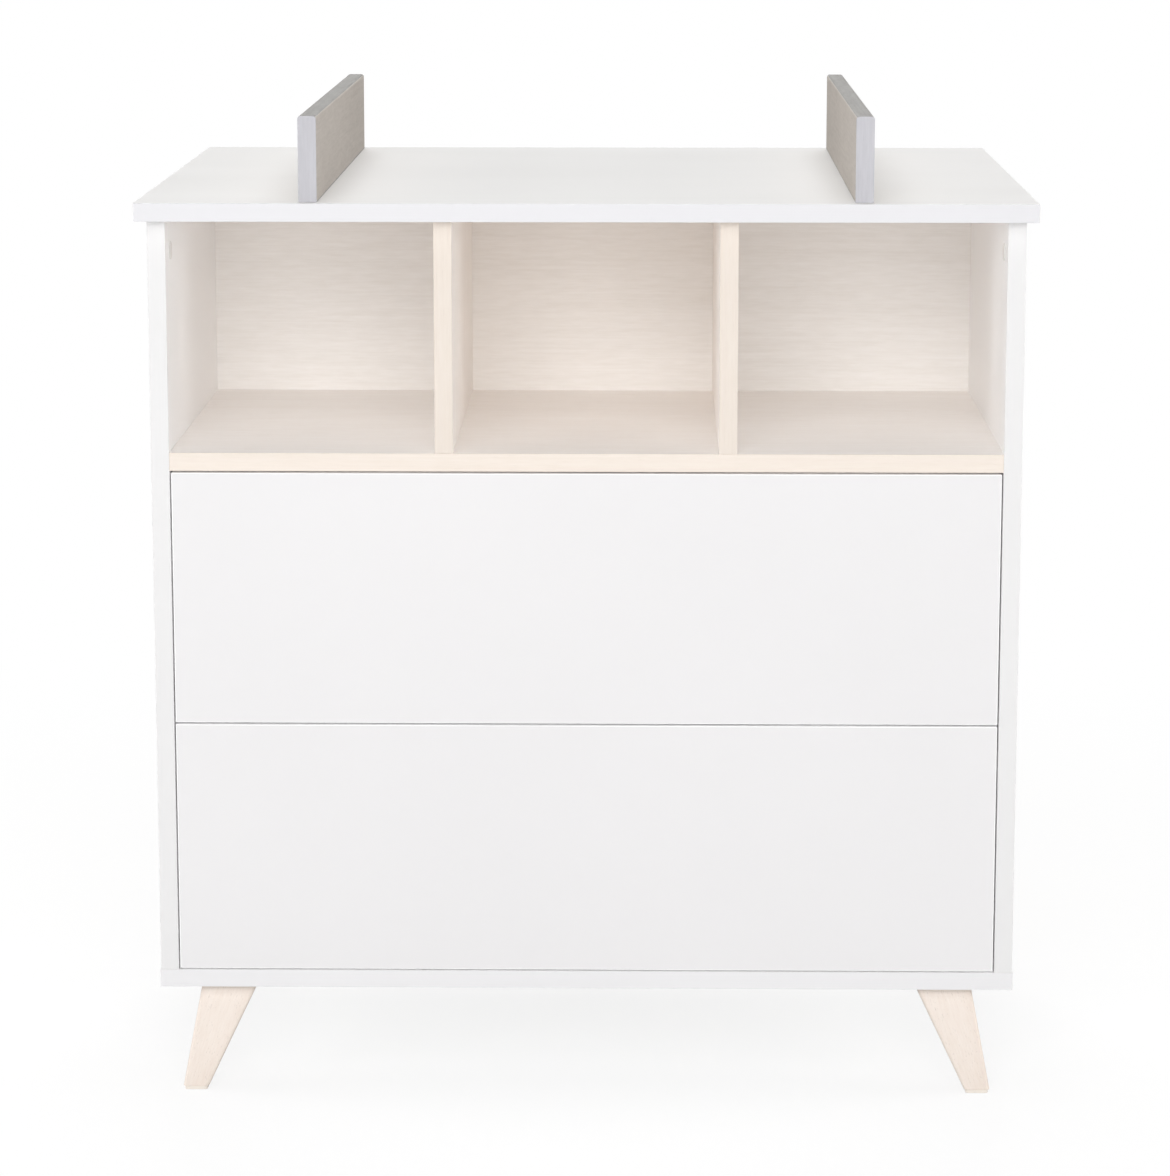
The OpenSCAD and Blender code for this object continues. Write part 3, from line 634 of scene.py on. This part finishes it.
class Workshop:
    """Modelling steps, done with Blender's own operators as by hand."""

    @staticmethod
    def take(piece: Piece) -> None:
        """Deselects everything and takes up one piece.

        Args:
            piece: the piece.
        """
        bpy.ops.object.select_all(action="DESELECT")
        piece.select_set(True)
        bpy.context.view_layer.objects.active = piece

    @staticmethod
    def name(piece: Piece, name: str) -> Piece:
        """Names a piece and its mesh."""
        piece.name = piece.data.name = name
        return piece

    @staticmethod
    def edit(piece: Piece, steps: Callable[[], None], pick: Pick = Pick.FACES) -> None:
        """Runs steps in edit mode on what is selected.

        Args:
            piece: the piece.
            steps: the steps.
            pick: what the selection is made of.
        """
        Workshop.take(piece)
        bpy.context.tool_settings.mesh_select_mode = tuple(pick is kind for kind in Pick)
        bpy.ops.object.mode_set(mode="EDIT")
        steps()
        bpy.ops.object.mode_set(mode="OBJECT")

    @staticmethod
    def bevel(piece: Piece, **settings: object) -> None:
        """Rounds the selected edges of a piece."""
        Workshop.edit(piece, lambda: bpy.ops.mesh.bevel(affect="EDGES", **settings), Pick.EDGES)

    @staticmethod
    def clear(piece: Piece) -> None:
        """Deselects every vertex, edge and face of a piece."""
        for part in (piece.data.vertices, piece.data.edges, piece.data.polygons):
            part.foreach_set("select", [False] * len(part))

    @staticmethod
    def select_faces(piece: Piece, test: Callable[[bpy.types.MeshPolygon], bool]) -> None:
        """Selects the faces that pass a test.

        Args:
            piece: the piece.
            test: the test.
        """
        Workshop.clear(piece)
        for face in piece.data.polygons:
            face.select = bool(test(face))

    @staticmethod
    def select_edges(piece: Piece, test: Callable[[Vector, Vector], bool]) -> int:
        """Selects the edges whose two ends pass a test.

        Args:
            piece: the piece.
            test: the test on the two ends.

        Returns:
            How many edges are selected.
        """
        Workshop.clear(piece)
        corners = piece.data.vertices
        count = 0
        for edge in piece.data.edges:
            a, b = (corners[i].co for i in edge.vertices)
            edge.select = bool(test(a, b))
            if edge.select:
                count += 1
                corners[edge.vertices[0]].select = corners[edge.vertices[1]].select = True
        return count

    @staticmethod
    def from_node(node: str, name: str) -> Piece:
        """Copies a node's solid, merges its loose triangles and clears its flat faces.

        Args:
            node: the node.
            name: the new piece's name.

        Returns:
            The new piece.
        """
        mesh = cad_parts[node].data.copy()
        mesh.materials.clear()
        piece = bpy.data.objects.new(name, mesh)
        bpy.context.scene.collection.objects.link(piece)

        def merge() -> None:
            """Merges the corners and joins the triangles of flat faces."""
            bpy.ops.mesh.select_all(action="SELECT")
            bpy.ops.mesh.customdata_custom_splitnormals_clear()
            bpy.ops.mesh.remove_doubles(threshold=0.01 * MM)
            bpy.ops.mesh.dissolve_limited(angle_limit=math.radians(0.5))

        Workshop.edit(piece, merge)
        return Workshop.name(piece, name)

    @staticmethod
    def solid_boxes(node: str) -> list[tuple[Vector, Vector]]:
        """The box of each solid in a node.

        Args:
            node: the node.

        Returns:
            The lowest and highest corner of each.
        """
        piece = Workshop.from_node(node, f"{node}_parted")
        Workshop.edit(piece, lambda: bpy.ops.mesh.separate(type="LOOSE"))
        boxes = []
        for part in list(bpy.context.selected_objects):
            ends = [[f(v.co[i] for v in part.data.vertices) for i in range(3)] for f in (min, max)]
            boxes.append((Vector(ends[0]), Vector(ends[1])))
            bpy.data.objects.remove(part)
        return boxes

    @staticmethod
    def smooth(piece: Piece, angle: float = 40.0) -> None:
        """Smooths the round faces of a piece and keeps its flat faces flat.

        Args:
            piece: the piece.
            angle: the sharpest angle that is smoothed, in degrees.
        """
        Workshop.take(piece)
        bpy.ops.object.shade_smooth_by_angle(angle=math.radians(angle))
        weighted = piece.modifiers.new("flat faces", "WEIGHTED_NORMAL")
        weighted.keep_sharp = True
        bpy.ops.object.modifier_apply(modifier=weighted.name)

    @staticmethod
    def soften(piece: Piece, width: float, segments: int = 2) -> None:
        """Rounds every sharp edge of a piece.

        Args:
            piece: the piece.
            width: the rounding's width, in metres.
            segments: its segments.
        """
        Workshop.take(piece)
        bevel = piece.modifiers.new("arris", "BEVEL")
        bevel.width = width
        bevel.segments = segments
        bevel.limit_method = "ANGLE"
        bevel.angle_limit = math.radians(50.0)
        bevel.use_clamp_overlap = True
        bpy.ops.object.modifier_apply(modifier=bevel.name)

    @staticmethod
    def softened(
        node: str, name: str, finish: Finish, body: str, slot: str, width: float, segments: int = 2
    ) -> Piece:
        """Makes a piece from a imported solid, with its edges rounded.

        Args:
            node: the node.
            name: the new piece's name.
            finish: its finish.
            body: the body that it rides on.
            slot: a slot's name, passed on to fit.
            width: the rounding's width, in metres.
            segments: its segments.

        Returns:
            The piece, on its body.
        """
        piece = Workshop.from_node(node, name)
        Workshop.soften(piece, width, segments)
        Workshop.smooth(piece)
        piece.data.materials.append(finish.material())
        return Workshop.fit(piece, body, slot, [node])

    @staticmethod
    def fit(piece: Piece, body: str, slot: str, nodes: Sequence[str]) -> Piece:
        """Puts a finished piece on its body, in place of the nodes that it stands for.

        Args:
            piece: the piece.
            body: the body that it rides on.
            slot: the slot that its finish would come from; not used.
            nodes: the nodes that it replaces.

        Returns:
            The piece.
        """
        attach(piece, body)
        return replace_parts(piece, *nodes)


@dataclass
class Board:
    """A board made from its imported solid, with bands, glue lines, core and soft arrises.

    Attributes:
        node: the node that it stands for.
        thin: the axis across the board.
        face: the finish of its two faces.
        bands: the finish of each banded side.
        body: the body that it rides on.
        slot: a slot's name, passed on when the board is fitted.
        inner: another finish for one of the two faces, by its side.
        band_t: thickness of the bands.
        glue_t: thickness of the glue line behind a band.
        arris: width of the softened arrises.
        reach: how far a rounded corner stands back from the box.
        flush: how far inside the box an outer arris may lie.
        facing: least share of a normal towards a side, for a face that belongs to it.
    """

    node: str
    thin: Axis
    face: Finish
    bands: Mapping[Side, Finish]
    body: str = "carcass"
    slot: str = "white_melamine"
    inner: Mapping[Side, Finish] = field(default_factory=dict)
    band_t: float = 1.0 * MM
    glue_t: float = 0.1 * MM
    arris: float = 0.4 * MM
    reach: float = 0.7 * MM
    flush: float = 0.005 * MM
    facing: float = 0.3

    def __post_init__(self) -> None:
        """Reads the box of the board's node."""
        self.lo, self.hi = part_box(self.node)

    def build(self) -> Piece:
        """Builds the board.

        Returns:
            The board, on its body.
        """
        piece = Workshop.from_node(self.node, f"{self.node}_board")
        if Workshop.select_edges(piece, self.is_arris):
            Workshop.bevel(piece, offset=self.arris, segments=2, clamp_overlap=True)
        Workshop.edit(piece, self.part_bands)
        self.dress(piece)
        Workshop.smooth(piece)
        return Workshop.fit(piece, self.body, self.slot, [self.node])

    def is_arris(self, a: Vector, b: Vector) -> bool:
        """Whether an edge is one of the board's outer arrises.

        Args:
            a: one end of the edge.
            b: its other end.

        Returns:
            True on the line where two outer faces meet.
        """
        on, near = set(), set()
        for side in Side:
            depth = max(side.depth(a, self.lo, self.hi), side.depth(b, self.lo, self.hi))
            if depth < self.flush:
                on.add(side.axis)
            if depth < self.reach:
                near.add(side.axis)
        return bool(on) and len(near) > 1

    def part_bands(self) -> None:
        """Cuts the bands and glue lines into the board's faces."""
        for side in self.bands:
            if side.axis is self.thin:
                continue
            i = side.axis.value
            outer = self.hi[i] if side.sign > 0 else self.lo[i]
            normal = Vector([float(i == j) for j in range(3)])
            for depth in (self.band_t, self.band_t + self.glue_t):
                point = normal * (outer - side.sign * depth)
                bpy.ops.mesh.select_all(action="SELECT")
                bpy.ops.mesh.bisect(plane_co=point, plane_no=normal, threshold=0.001 * MM)

    def dress(self, piece: Piece) -> None:
        """Gives each face of the board its finish.

        Args:
            piece: the board.
        """
        finishes: list[Finish] = []
        for face in piece.data.polygons:
            finish = self.finish_of(face.center, face.normal)
            if finish not in finishes:
                finishes.append(finish)
                piece.data.materials.append(finish.material())
            face.material_index = finishes.index(finish)

    def finish_of(self, centre: Vector, normal: Vector) -> Finish:
        """The finish at one place of the board.

        Args:
            centre: the face's centre.
            normal: its normal.

        Returns:
            The finish.
        """
        sides = [
            (normal[side.axis.value] * side.sign, side)
            for side in Side
            if side.depth(centre, self.lo, self.hi) < self.reach
        ]
        facing, side = max(sides, key=lambda pair: pair[0], default=(0.0, None))
        if facing < self.facing:
            return CORE
        if side.axis is not self.thin:
            return self.bands.get(side, CORE)
        for edge, band in self.bands.items():
            depth = edge.depth(centre, self.lo, self.hi)
            if depth < self.band_t:
                return band
            if depth < self.band_t + self.glue_t:
                return GLUE
        return self.inner.get(side, self.face)


@dataclass
class Carcass:
    """The white boards: worktop, side panels and bottom panel.

    Attributes:
        top_arris: width of the worktop's arrises.
        arris: width of the other boards' arrises.
    """

    top_arris: float = 0.5 * MM
    arris: float = 0.4 * MM

    def build(self) -> list[Piece]:
        """Builds the boards.

        Returns:
            The pieces.
        """
        ends = {Side.LEFT: WHITE_BAND_Y, Side.RIGHT: WHITE_BAND_Y}
        top, base, upright = (
            {Side.FRONT: band, Side.REAR: band}
            for band in (WHITE_BAND_X, WHITE_BAND_BASE, WHITE_BAND_Z)
        )
        # the inward faces take the lighter white, painted light
        return [
            Board(node, thin, WHITE_FACE, bands, inner={inside: WHITE_INNER_PAINTED_LIGHT}, arris=arris).build()
            for node, thin, bands, inside, arris in (
                ("worktop", Axis.Z, top | ends, Side.BOTTOM, self.top_arris),
                ("side_panel_left", Axis.X, upright, Side.RIGHT, self.arris),
                ("side_panel_right", Axis.X, upright, Side.LEFT, self.arris),
                ("bottom_panel", Axis.Z, base | ends, Side.TOP, self.arris),
            )
        ]


@dataclass
class Niches:
    """The shelf and dividers in oak decor, and the two back panels.

    Attributes:
        shelf_band_painted_light: how far the shelf's edge band is lightened, as painted light.
        post_band_painted_shade: how far the dividers' edge bands are darkened, as painted shade.
        plain: the face of the panel behind the drawers.
        raw_tone: how light that panel's raw back is.
    """

    shelf_band_painted_light: float = 1.02
    post_band_painted_shade: float = 0.95
    plain: Colour = (0.87, 0.87, 0.86)
    raw_tone: float = 0.93

    def build(self) -> list[Piece]:
        """Builds the boards and dresses the back panels.

        Returns:
            The pieces.
        """
        # the shelf's band lightened as painted light, the dividers' darkened as painted shade
        shelf_band = oak_band("oak_band_across", Axis.X, (0.3, 0.1, 0.2), self.shelf_band_painted_light)
        post_band = oak_band("oak_band_upright", Axis.Z, (0.1, 0.4, 0.3), self.post_band_painted_shade)
        made = []
        for name, thin, grain, centre, band in (
            ("shelf", Axis.Z, Axis.X, ORIGIN, shelf_band),
            ("divider_left", Axis.X, Axis.Z, (0.0, 0.3, 0.2), post_band),
            ("divider_right", Axis.X, Axis.Z, (0.7, 0.3, 0.2), post_band),
        ):
            face = oak(f"oak_{name}", grain, centre)
            board = Board(f"niche_{name}", thin, face, {Side.FRONT: band}, slot="oak_decor")
            made.append(board.build())
        for node, colour, dark, fibre in (
            ("niche_back_panel", OAK_BACK_LIGHT, OAK_BACK_DARK, FIBRE),
            ("drawer_bay_back_panel", self.plain, None, shade(FIBRE, self.raw_tone)),
        ):
            lo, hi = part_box(node)
            split = (lo.y + 2 * hi.y) / 3
            face = Hardboard(f"{node}_face", colour, 0.5, fibre, split, dark)
            made.append(dress_node(node, face))
        return made


def dress_node(node: str, finish: Finish) -> Piece:
    """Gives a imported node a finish.

    Args:
        node: the node.
        finish: its finish.

    Returns:
        The node's object.
    """
    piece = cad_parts[node]
    if not piece.material_slots:
        piece.data.materials.append(finish.material())
    for held in piece.material_slots:
        held.material = finish.material()
    return piece


@dataclass
class ChangingRails:
    """The two rails of grey decor that hold the changing mat.

    Attributes:
        end: the colour of the banded ends.
        side: the colour of the big faces.
        top: the colour of the upper edge, darker than the other faces as painted shade.
        reach: how far their rounded corners stand back from the box.
    """

    end: Colour = (0.523, 0.518, 0.549)
    side: Colour = (0.525, 0.481, 0.438)
    top: Colour = (0.303, 0.294, 0.28)
    reach: float = 1.2 * MM

    def build(self) -> list[Piece]:
        """Builds both rails.

        Returns:
            The rails.
        """
        face = self.decor("grey_face", self.side, Axis.Y)
        end = self.decor("grey_end", self.end, Axis.Z)
        # the edges along the top and bottom take a darker grey, painted shade
        top = self.decor("grey_top_painted_shade", self.top, Axis.Y)
        bands = {Side.FRONT: end, Side.REAR: end, Side.TOP: top, Side.BOTTOM: top}
        return [
            Board(
                f"changing_rail_{side}", Axis.X, face, bands, slot="grey_decor", reach=self.reach
            ).build()
            for side in ("left", "right")
        ]

    @staticmethod
    def decor(name: str, colour: Colour, grain: Axis) -> WoodDecor:
        """Grey wood decor in one colour."""
        light, dark = shade(colour, 1.03), shade(colour, 0.9)
        return WoodDecor(name, light, 0.65, dark, grain, ring=30.0, pores=0.16)


@dataclass
class Legs:
    """The four leaning, tapered legs, and their glides.

    Attributes:
        top: width and depth of a leg's top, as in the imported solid.
        foot: width and depth of its foot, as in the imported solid.
        edge_r: rounding of its long edges.
        rim: rounding of its ends.
        glide_r: rounding of the glides.
        wood: the light colour of the wood.
        dark: the dark colour of the wood.
    """

    top: tuple[float, float] = (57 * MM, 54 * MM)
    foot: tuple[float, float] = (26 * MM, 26 * MM)
    edge_r: float = 3 * MM
    rim: float = 0.5 * MM
    glide_r: float = 0.6 * MM
    wood: Colour = (0.829, 0.749, 0.685)
    dark: Colour = (0.756, 0.655, 0.578)

    def build(self) -> list[Piece]:
        """Builds the legs and the glides.

        Returns:
            The pieces.
        """
        made = [
            self.leg(f"leg_{end}_{side}", out_x, out_y)
            for end, out_y in (("front", -1), ("rear", 1))
            for side, out_x in (("left", -1), ("right", 1))
        ]
        glides = "foot_glides", "foot_glide_pads", NYLON, "carcass", "glide_plastic", self.glide_r
        return made + [Workshop.softened(*glides, segments=3)]

    def leg(self, node: str, out_x: int, out_y: int) -> Piece:
        """Builds one leg from a block: tapered to its foot, leaned out and rounded.

        Args:
            node: the leg's node.
            out_x: 1 if the leg leans to the right and -1 if to the left.
            out_y: 1 if it leans to the back and -1 if to the front.

        Returns:
            The leg.
        """
        lo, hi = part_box(node)
        inner = Vector((lo.x if out_x > 0 else hi.x, lo.y if out_y > 0 else hi.y))
        outer = Vector((hi.x if out_x > 0 else lo.x, hi.y if out_y > 0 else lo.y))
        out = Vector((out_x, out_y))
        top = inner + Vector(self.top) * 0.5 * out
        foot = outer - Vector(self.foot) * 0.5 * out
        height = hi.z - lo.z
        bpy.ops.object.select_all(action="DESELECT")
        middle = (top.x, top.y, (lo.z + hi.z) / 2)
        bpy.ops.mesh.primitive_cube_add(size=1.0, location=middle, scale=(*self.top, height))
        piece = Workshop.name(bpy.context.object, f"{node}_turned")
        bpy.ops.object.transform_apply(location=True, rotation=True, scale=True)

        def taper() -> None:
            """Draws the lower end in and moves it out to the foot."""
            shares = (self.foot[0] / self.top[0], self.foot[1] / self.top[1], 1.0)
            bpy.ops.transform.resize(value=shares)
            bpy.ops.transform.translate(value=(foot.x - top.x, foot.y - top.y, 0.0))

        Workshop.select_faces(piece, lambda face: face.normal.z < -FACING)
        Workshop.edit(piece, taper)
        Workshop.select_edges(piece, lambda a, b: abs(a.z - b.z) > height / 2)
        Workshop.bevel(piece, offset=self.edge_r, segments=6)
        Workshop.soften(piece, self.rim)
        Workshop.smooth(piece, angle=30.0)
        lean = Vector((top.x - foot.x, top.y - foot.y, height)).normalized()
        centre = (top.x, top.y, hi.z)
        finish = SolidWood(f"beech_{node}", self.wood, 0.45, self.dark, tuple(lean), centre)
        piece.data.materials.append(finish.material())
        return Workshop.fit(piece, "carcass", "leg_wood", [node])


@dataclass
class CoverCaps:
    """The white caps pressed over the cams that can be seen inside the niches.

    Attributes:
        radius: radius of a cap.
        thick: how far it stands off the side panel.
        rim: rounding of its edge.
        lip: width of its flat rim, as a share of the radius.
        slope: width of the slope inside the rim, as a share of the radius.
        dip: how far its middle is sunk, as a share of the thickness.
        corners: how many corners its outline has.
    """

    radius: float = 9.0 * MM
    thick: float = 1.2 * MM
    rim: float = 0.7 * MM
    lip: float = 0.3
    slope: float = 0.15
    dip: float = 0.2
    corners: int = 40

    def build(self) -> list[Piece]:
        """Builds one cap for each cam over the shelf.

        Returns:
            The caps.
        """
        shelf_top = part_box("niche_shelf")[1].z
        made = []
        for name in ("left", "right"):
            lo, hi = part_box(f"side_panel_{name}")
            inward = 1 if name == "left" else -1
            face = hi.x if inward > 0 else lo.x
            middles = [
                (a + b) / 2
                for a, b in Workshop.solid_boxes("cam_locks")
                if lo.x < (a.x + b.x) / 2 < hi.x and a.z > shelf_top
            ]
            for i, middle in enumerate(sorted(middles, key=lambda point: point.y)):
                cap = self.cap(f"cover_cap_{name}_{i + 1}", face, inward, middle)
                made.append(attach(cap, "carcass"))
        return made

    def cap(self, name: str, face: float, inward: int, middle: Vector) -> Piece:
        """Builds one cap: a disc with a rounded rim and a shallow dished middle.

        Args:
            name: its name.
            face: the side panel's face, along X.
            inward: 1 if it faces to the right and -1 if to the left.
            middle: the cam's middle.

        Returns:
            The cap.
        """
        bpy.ops.object.select_all(action="DESELECT")
        bpy.ops.mesh.primitive_cylinder_add(
            vertices=self.corners,
            radius=self.radius,
            depth=self.thick,
            location=(face + inward * self.thick / 2, middle.y, middle.z),
            rotation=(0.0, math.pi / 2, 0.0),
        )
        piece = Workshop.name(bpy.context.object, name)
        bpy.ops.object.transform_apply(location=True, rotation=True, scale=True)

        def dish() -> None:
            """Sinks the middle of the outer face a little."""
            bpy.ops.mesh.inset(thickness=self.radius * self.lip)
            bpy.ops.mesh.inset(thickness=self.radius * self.slope, depth=-self.thick * self.dip)

        Workshop.select_faces(piece, lambda side: side.normal.x * inward > FACING)
        Workshop.edit(piece, dish)
        Workshop.soften(piece, self.rim, segments=3)
        Workshop.smooth(piece, angle=50.0)
        piece.data.materials.append(CAP_WHITE.material())
        return piece


@dataclass
class Drawer:
    """One drawer: its front, sides and back, its bottom, strikes and fixings.

    Attributes:
        level: which drawer it is.
        thin_band_t: thickness of the bands on the sides and back.
    """

    level: Level
    thin_band_t: float = 0.5 * MM

    def build(self) -> list[Piece]:
        """Builds the drawer's boards and dresses its small parts.

        Returns:
            The pieces.
        """
        body = f"{self.level.value}_drawer"
        around = dict.fromkeys((Side.LEFT, Side.RIGHT, Side.BOTTOM, Side.TOP), WHITE_EDGE)
        along, across = (
            {Side.TOP: band, Side.BOTTOM: band} for band in (WHITE_BAND_Y, WHITE_BAND_X)
        )
        along[Side.REAR] = WHITE_BAND_Z
        made = [Board(f"{body}_front", Axis.Y, WHITE_FRONT, around, body).build()]
        for name, thin, bands in (
            ("side_left", Axis.X, along),
            ("side_right", Axis.X, along),
            ("back", Axis.Y, across),
        ):
            node, band_t = f"{body}_{name}", self.thin_band_t
            board = Board(node, thin, WHITE_FACE, bands, body, "drawer_board", band_t=band_t)
            made.append(board.build())
        for name, finish in (("bottom", DRAWER_BOTTOM), ("strikes", STEEL), ("fixings", CAST)):
            made.append(dress_node(f"{body}_{name}", finish))
        return made


@dataclass
class Fittings:
    """The slides, push latches, brackets and fasteners.

    Attributes:
        housing_r: rounding of the latch housings.
        plunger_r: rounding of the latch plungers.
        bracket_r: rounding of the wall brackets.
    """

    housing_r: float = 0.4 * MM
    plunger_r: float = 0.5 * MM
    bracket_r: float = 0.3 * MM

    def build(self) -> list[Piece]:
        """Dresses the slides and fasteners and softens the moulded and bent parts.

        Returns:
            The pieces.
        """
        made = []
        for level in (drawer.value for drawer in Level):
            for member in ("cabinet", "intermediate", "drawer"):
                for side in ("left", "right"):
                    made.append(dress_node(f"{member}_rail_{level}_{side}", STEEL))
            for row in ("outer", "inner"):
                made.append(dress_node(f"{level}_{row}_ball_cages", CAGE))
            plungers = f"{level}_latch_plungers"
            for node, *looks in (
                (f"{level}_latch_housings", LATCH_GREY, "carcass", "latch_plastic", self.housing_r),
                (plungers, PLUNGER_WHITE, plungers, "plunger_plastic", self.plunger_r),
            ):
                made.append(Workshop.softened(node, f"{node}_softened", *looks))
        looks = COATED, "carcass", "bracket_steel", self.bracket_r
        made.append(Workshop.softened("wall_brackets", "wall_brackets_softened", *looks))
        for finish, *nodes in (
            (STEEL, "changing_rail_bolts", "leg_bolts", "carcass_screws", "base_screws"),
            (STEEL, "threaded_inserts", "cam_bolts"),
            (CAST, "cam_locks"),
            (DOWEL, "dowels"),
        ):
            made += [dress_node(node, finish) for node in nodes]
        return made


@dataclass(frozen=True)
class Lamp:
    """A soft lamp.

    Attributes:
        name: its name.
        power: its power, in watts.
        place: where it hangs.
        size: its width and height.
    """

    name: str
    power: float
    place: Point
    size: tuple[float, float]

    def hang(self, aim: Vector) -> None:
        """Hangs the lamp and turns it to a point.

        Args:
            aim: the point.
        """
        bpy.ops.object.light_add(type="AREA", location=self.place)
        lamp = bpy.context.object
        lamp.name = f"{self.name}_lamp"
        lamp.data.shape = "RECTANGLE"
        lamp.data.size, lamp.data.size_y = self.size
        lamp.data.energy = self.power
        lamp.rotation_euler = (aim - Vector(self.place)).to_track_quat("-Z", "Y").to_euler()
        lamp.visible_camera = False


LAMPS = (
    # at the camera's height, to reach into the niches
    Lamp("front", 41.0, (0.06, -4.3, 1.3), (2.4, 1.2)),
    # above it, to shade the niches' upper halves
    Lamp("key", 42.0, (-0.4, -4.2, 2.2), (2.6, 0.7)),
    # above that, to light the niches' floors
    Lamp("high", 34.0, (0.0, -3.6, 3.1), (3.4, 0.9)),
    # beside the camera, to light what faces left and right
    Lamp("left_wing", 36.0, (-3.4, -2.7, 1.1), (1.2, 1.6)),
    Lamp("right_wing", 29.0, (3.4, -2.7, 1.1), (1.2, 1.6)),
    # round the dresser and above it
    Lamp("left", 46.0, (-3.4, 0.0, 1.5), (2.0, 1.6)),
    Lamp("right", 46.0, (3.4, 0.0, 1.5), (2.0, 1.6)),
    Lamp("rear", 80.0, (0.0, 3.0, 3.2), (2.6, 1.6)),
    Lamp("overhead", 14.0, (0.0, -0.2, 3.6), (3.0, 3.0)),
)


@dataclass
class Studio:
    """The camera, the floor, the lamps and the world.

    Attributes:
        place: the camera's place.
        yaw: its turn to the left, in degrees.
        pitch: its dip below the horizon, in degrees.
        lens: its focal length, in millimetres.
        sensor: its sensor's width, in millimetres.
        clip: the nearest and farthest distance that it sees.
        ambient: brightness of the world for all but the camera and reflections.
        aim: the point that the lamps face.
        floor_w: width of the floor.
        floor_bounce: colour of the floor for all but the camera.
        glow: how far the floor is lifted to white for the camera, near the dresser.
        fade: from where to where, out from the middle, the rest of the lift sets in.
    """

    place: Point = (0.0629, -4.284, 1.27)
    yaw: float = 0.924
    pitch: float = 10.696
    lens: float = 123.79
    sensor: float = 36.0
    clip: tuple[float, float] = (0.1, 200.0)
    ambient: float = 0.08
    aim: Point = (0.0, 0.0, 0.6)
    floor_w: float = 140.0
    floor_bounce: float = 0.7
    glow: float = 0.82
    fade: tuple[float, float] = (0.7, 2.0)

    def build(self) -> None:
        """Sets up the whole studio."""
        self.add_camera()
        self.add_floor()
        for lamp in LAMPS:
            lamp.hang(Vector(self.aim))
        self.light_world()
        scene = bpy.context.scene
        scene.view_settings.view_transform = "Standard"
        scene.cycles.max_bounces = 16
        scene.cycles.diffuse_bounces = 14

    def add_camera(self) -> None:
        """Puts the camera where the photograph was taken from."""
        bpy.ops.object.camera_add(
            location=self.place,
            rotation=(math.radians(90.0 - self.pitch), 0.0, math.radians(self.yaw)),
        )
        camera = bpy.context.object
        camera.data.lens, camera.data.sensor_width = self.lens, self.sensor
        camera.data.clip_start, camera.data.clip_end = self.clip
        bpy.context.scene.camera = camera

    def add_floor(self) -> None:
        """Lays a wide pale floor, shaded near the dresser and plain white further out."""
        bpy.ops.object.select_all(action="DESELECT")
        bpy.ops.mesh.primitive_plane_add(size=self.floor_w, location=ORIGIN)
        floor = Workshop.name(bpy.context.object, "studio_floor")
        paint = bpy.data.materials.new("pale_floor")
        floor.data.materials.append(paint)
        graph = Graph(paint)
        graph.tree.nodes.remove(graph.shader)
        seen = graph.node("ShaderNodeLightPath").outputs["Is Camera Ray"]
        tone = graph.tint(seen, (self.floor_bounce,) * 3, (1.0, 1.0, 1.0))
        matt = graph.node("ShaderNodeBsdfDiffuse", {"Color": tone}).outputs[0]
        white = graph.node("ShaderNodeEmission").outputs[0]
        length = graph.node("ShaderNodeVectorMath", {0: graph.place()}, operation="LENGTH")
        fade = graph.spread(length.outputs["Value"], *self.fade, self.glow, 1.0)
        fade.node.interpolation_type = "SMOOTHSTEP"
        lifted = graph.maths("MULTIPLY", fade, seen)
        mixed = graph.node("ShaderNodeMixShader", {0: lifted, 1: matt, 2: white}).outputs[0]
        graph.feed(graph.tree.nodes["Material Output"].inputs["Surface"], mixed)

    def light_world(self) -> None:
        """Makes the world white for the camera and reflections, and softer for the rest."""
        world = bpy.data.worlds.new("studio_world")
        bpy.context.scene.world = world
        graph = Graph(world)
        graph.tree.nodes.clear()
        path = graph.node("ShaderNodeLightPath").outputs
        seen = path["Is Camera Ray"]
        for other in ("Is Glossy Ray", "Is Transmission Ray"):
            seen = graph.maths("MAXIMUM", seen, path[other])
        white = (1.0, 1.0, 1.0, 1.0)
        soft, plain = (
            graph.node("ShaderNodeBackground", {"Color": white, "Strength": strength}).outputs[0]
            for strength in (self.ambient, 1.0)
        )
        mixed = graph.node("ShaderNodeMixShader", {0: seen, 1: soft, 2: plain}).outputs[0]
        graph.node("ShaderNodeOutputWorld", {"Surface": mixed})


def report(name: str, pieces: Iterable[Piece]) -> None:
    """Logs each piece of a sub-assembly."""
    for piece in pieces:
        log.info("%s: %s, %d faces", name, piece.name, len(piece.data.polygons))


def main() -> None:
    """Builds the dresser piece by piece, then the studio round it."""
    logging.basicConfig(level=logging.INFO, format="%(message)s")
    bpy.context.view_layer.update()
    report("carcass", Carcass().build())
    report("niches", Niches().build())
    report("cover caps", CoverCaps().build())
    report("changing rails", ChangingRails().build())
    report("legs", Legs().build())
    for level in Level:
        report(f"{level.value} drawer", Drawer(level).build())
    report("fittings", Fittings().build())
    Studio().build()


if __name__ == "__main__":
    main()
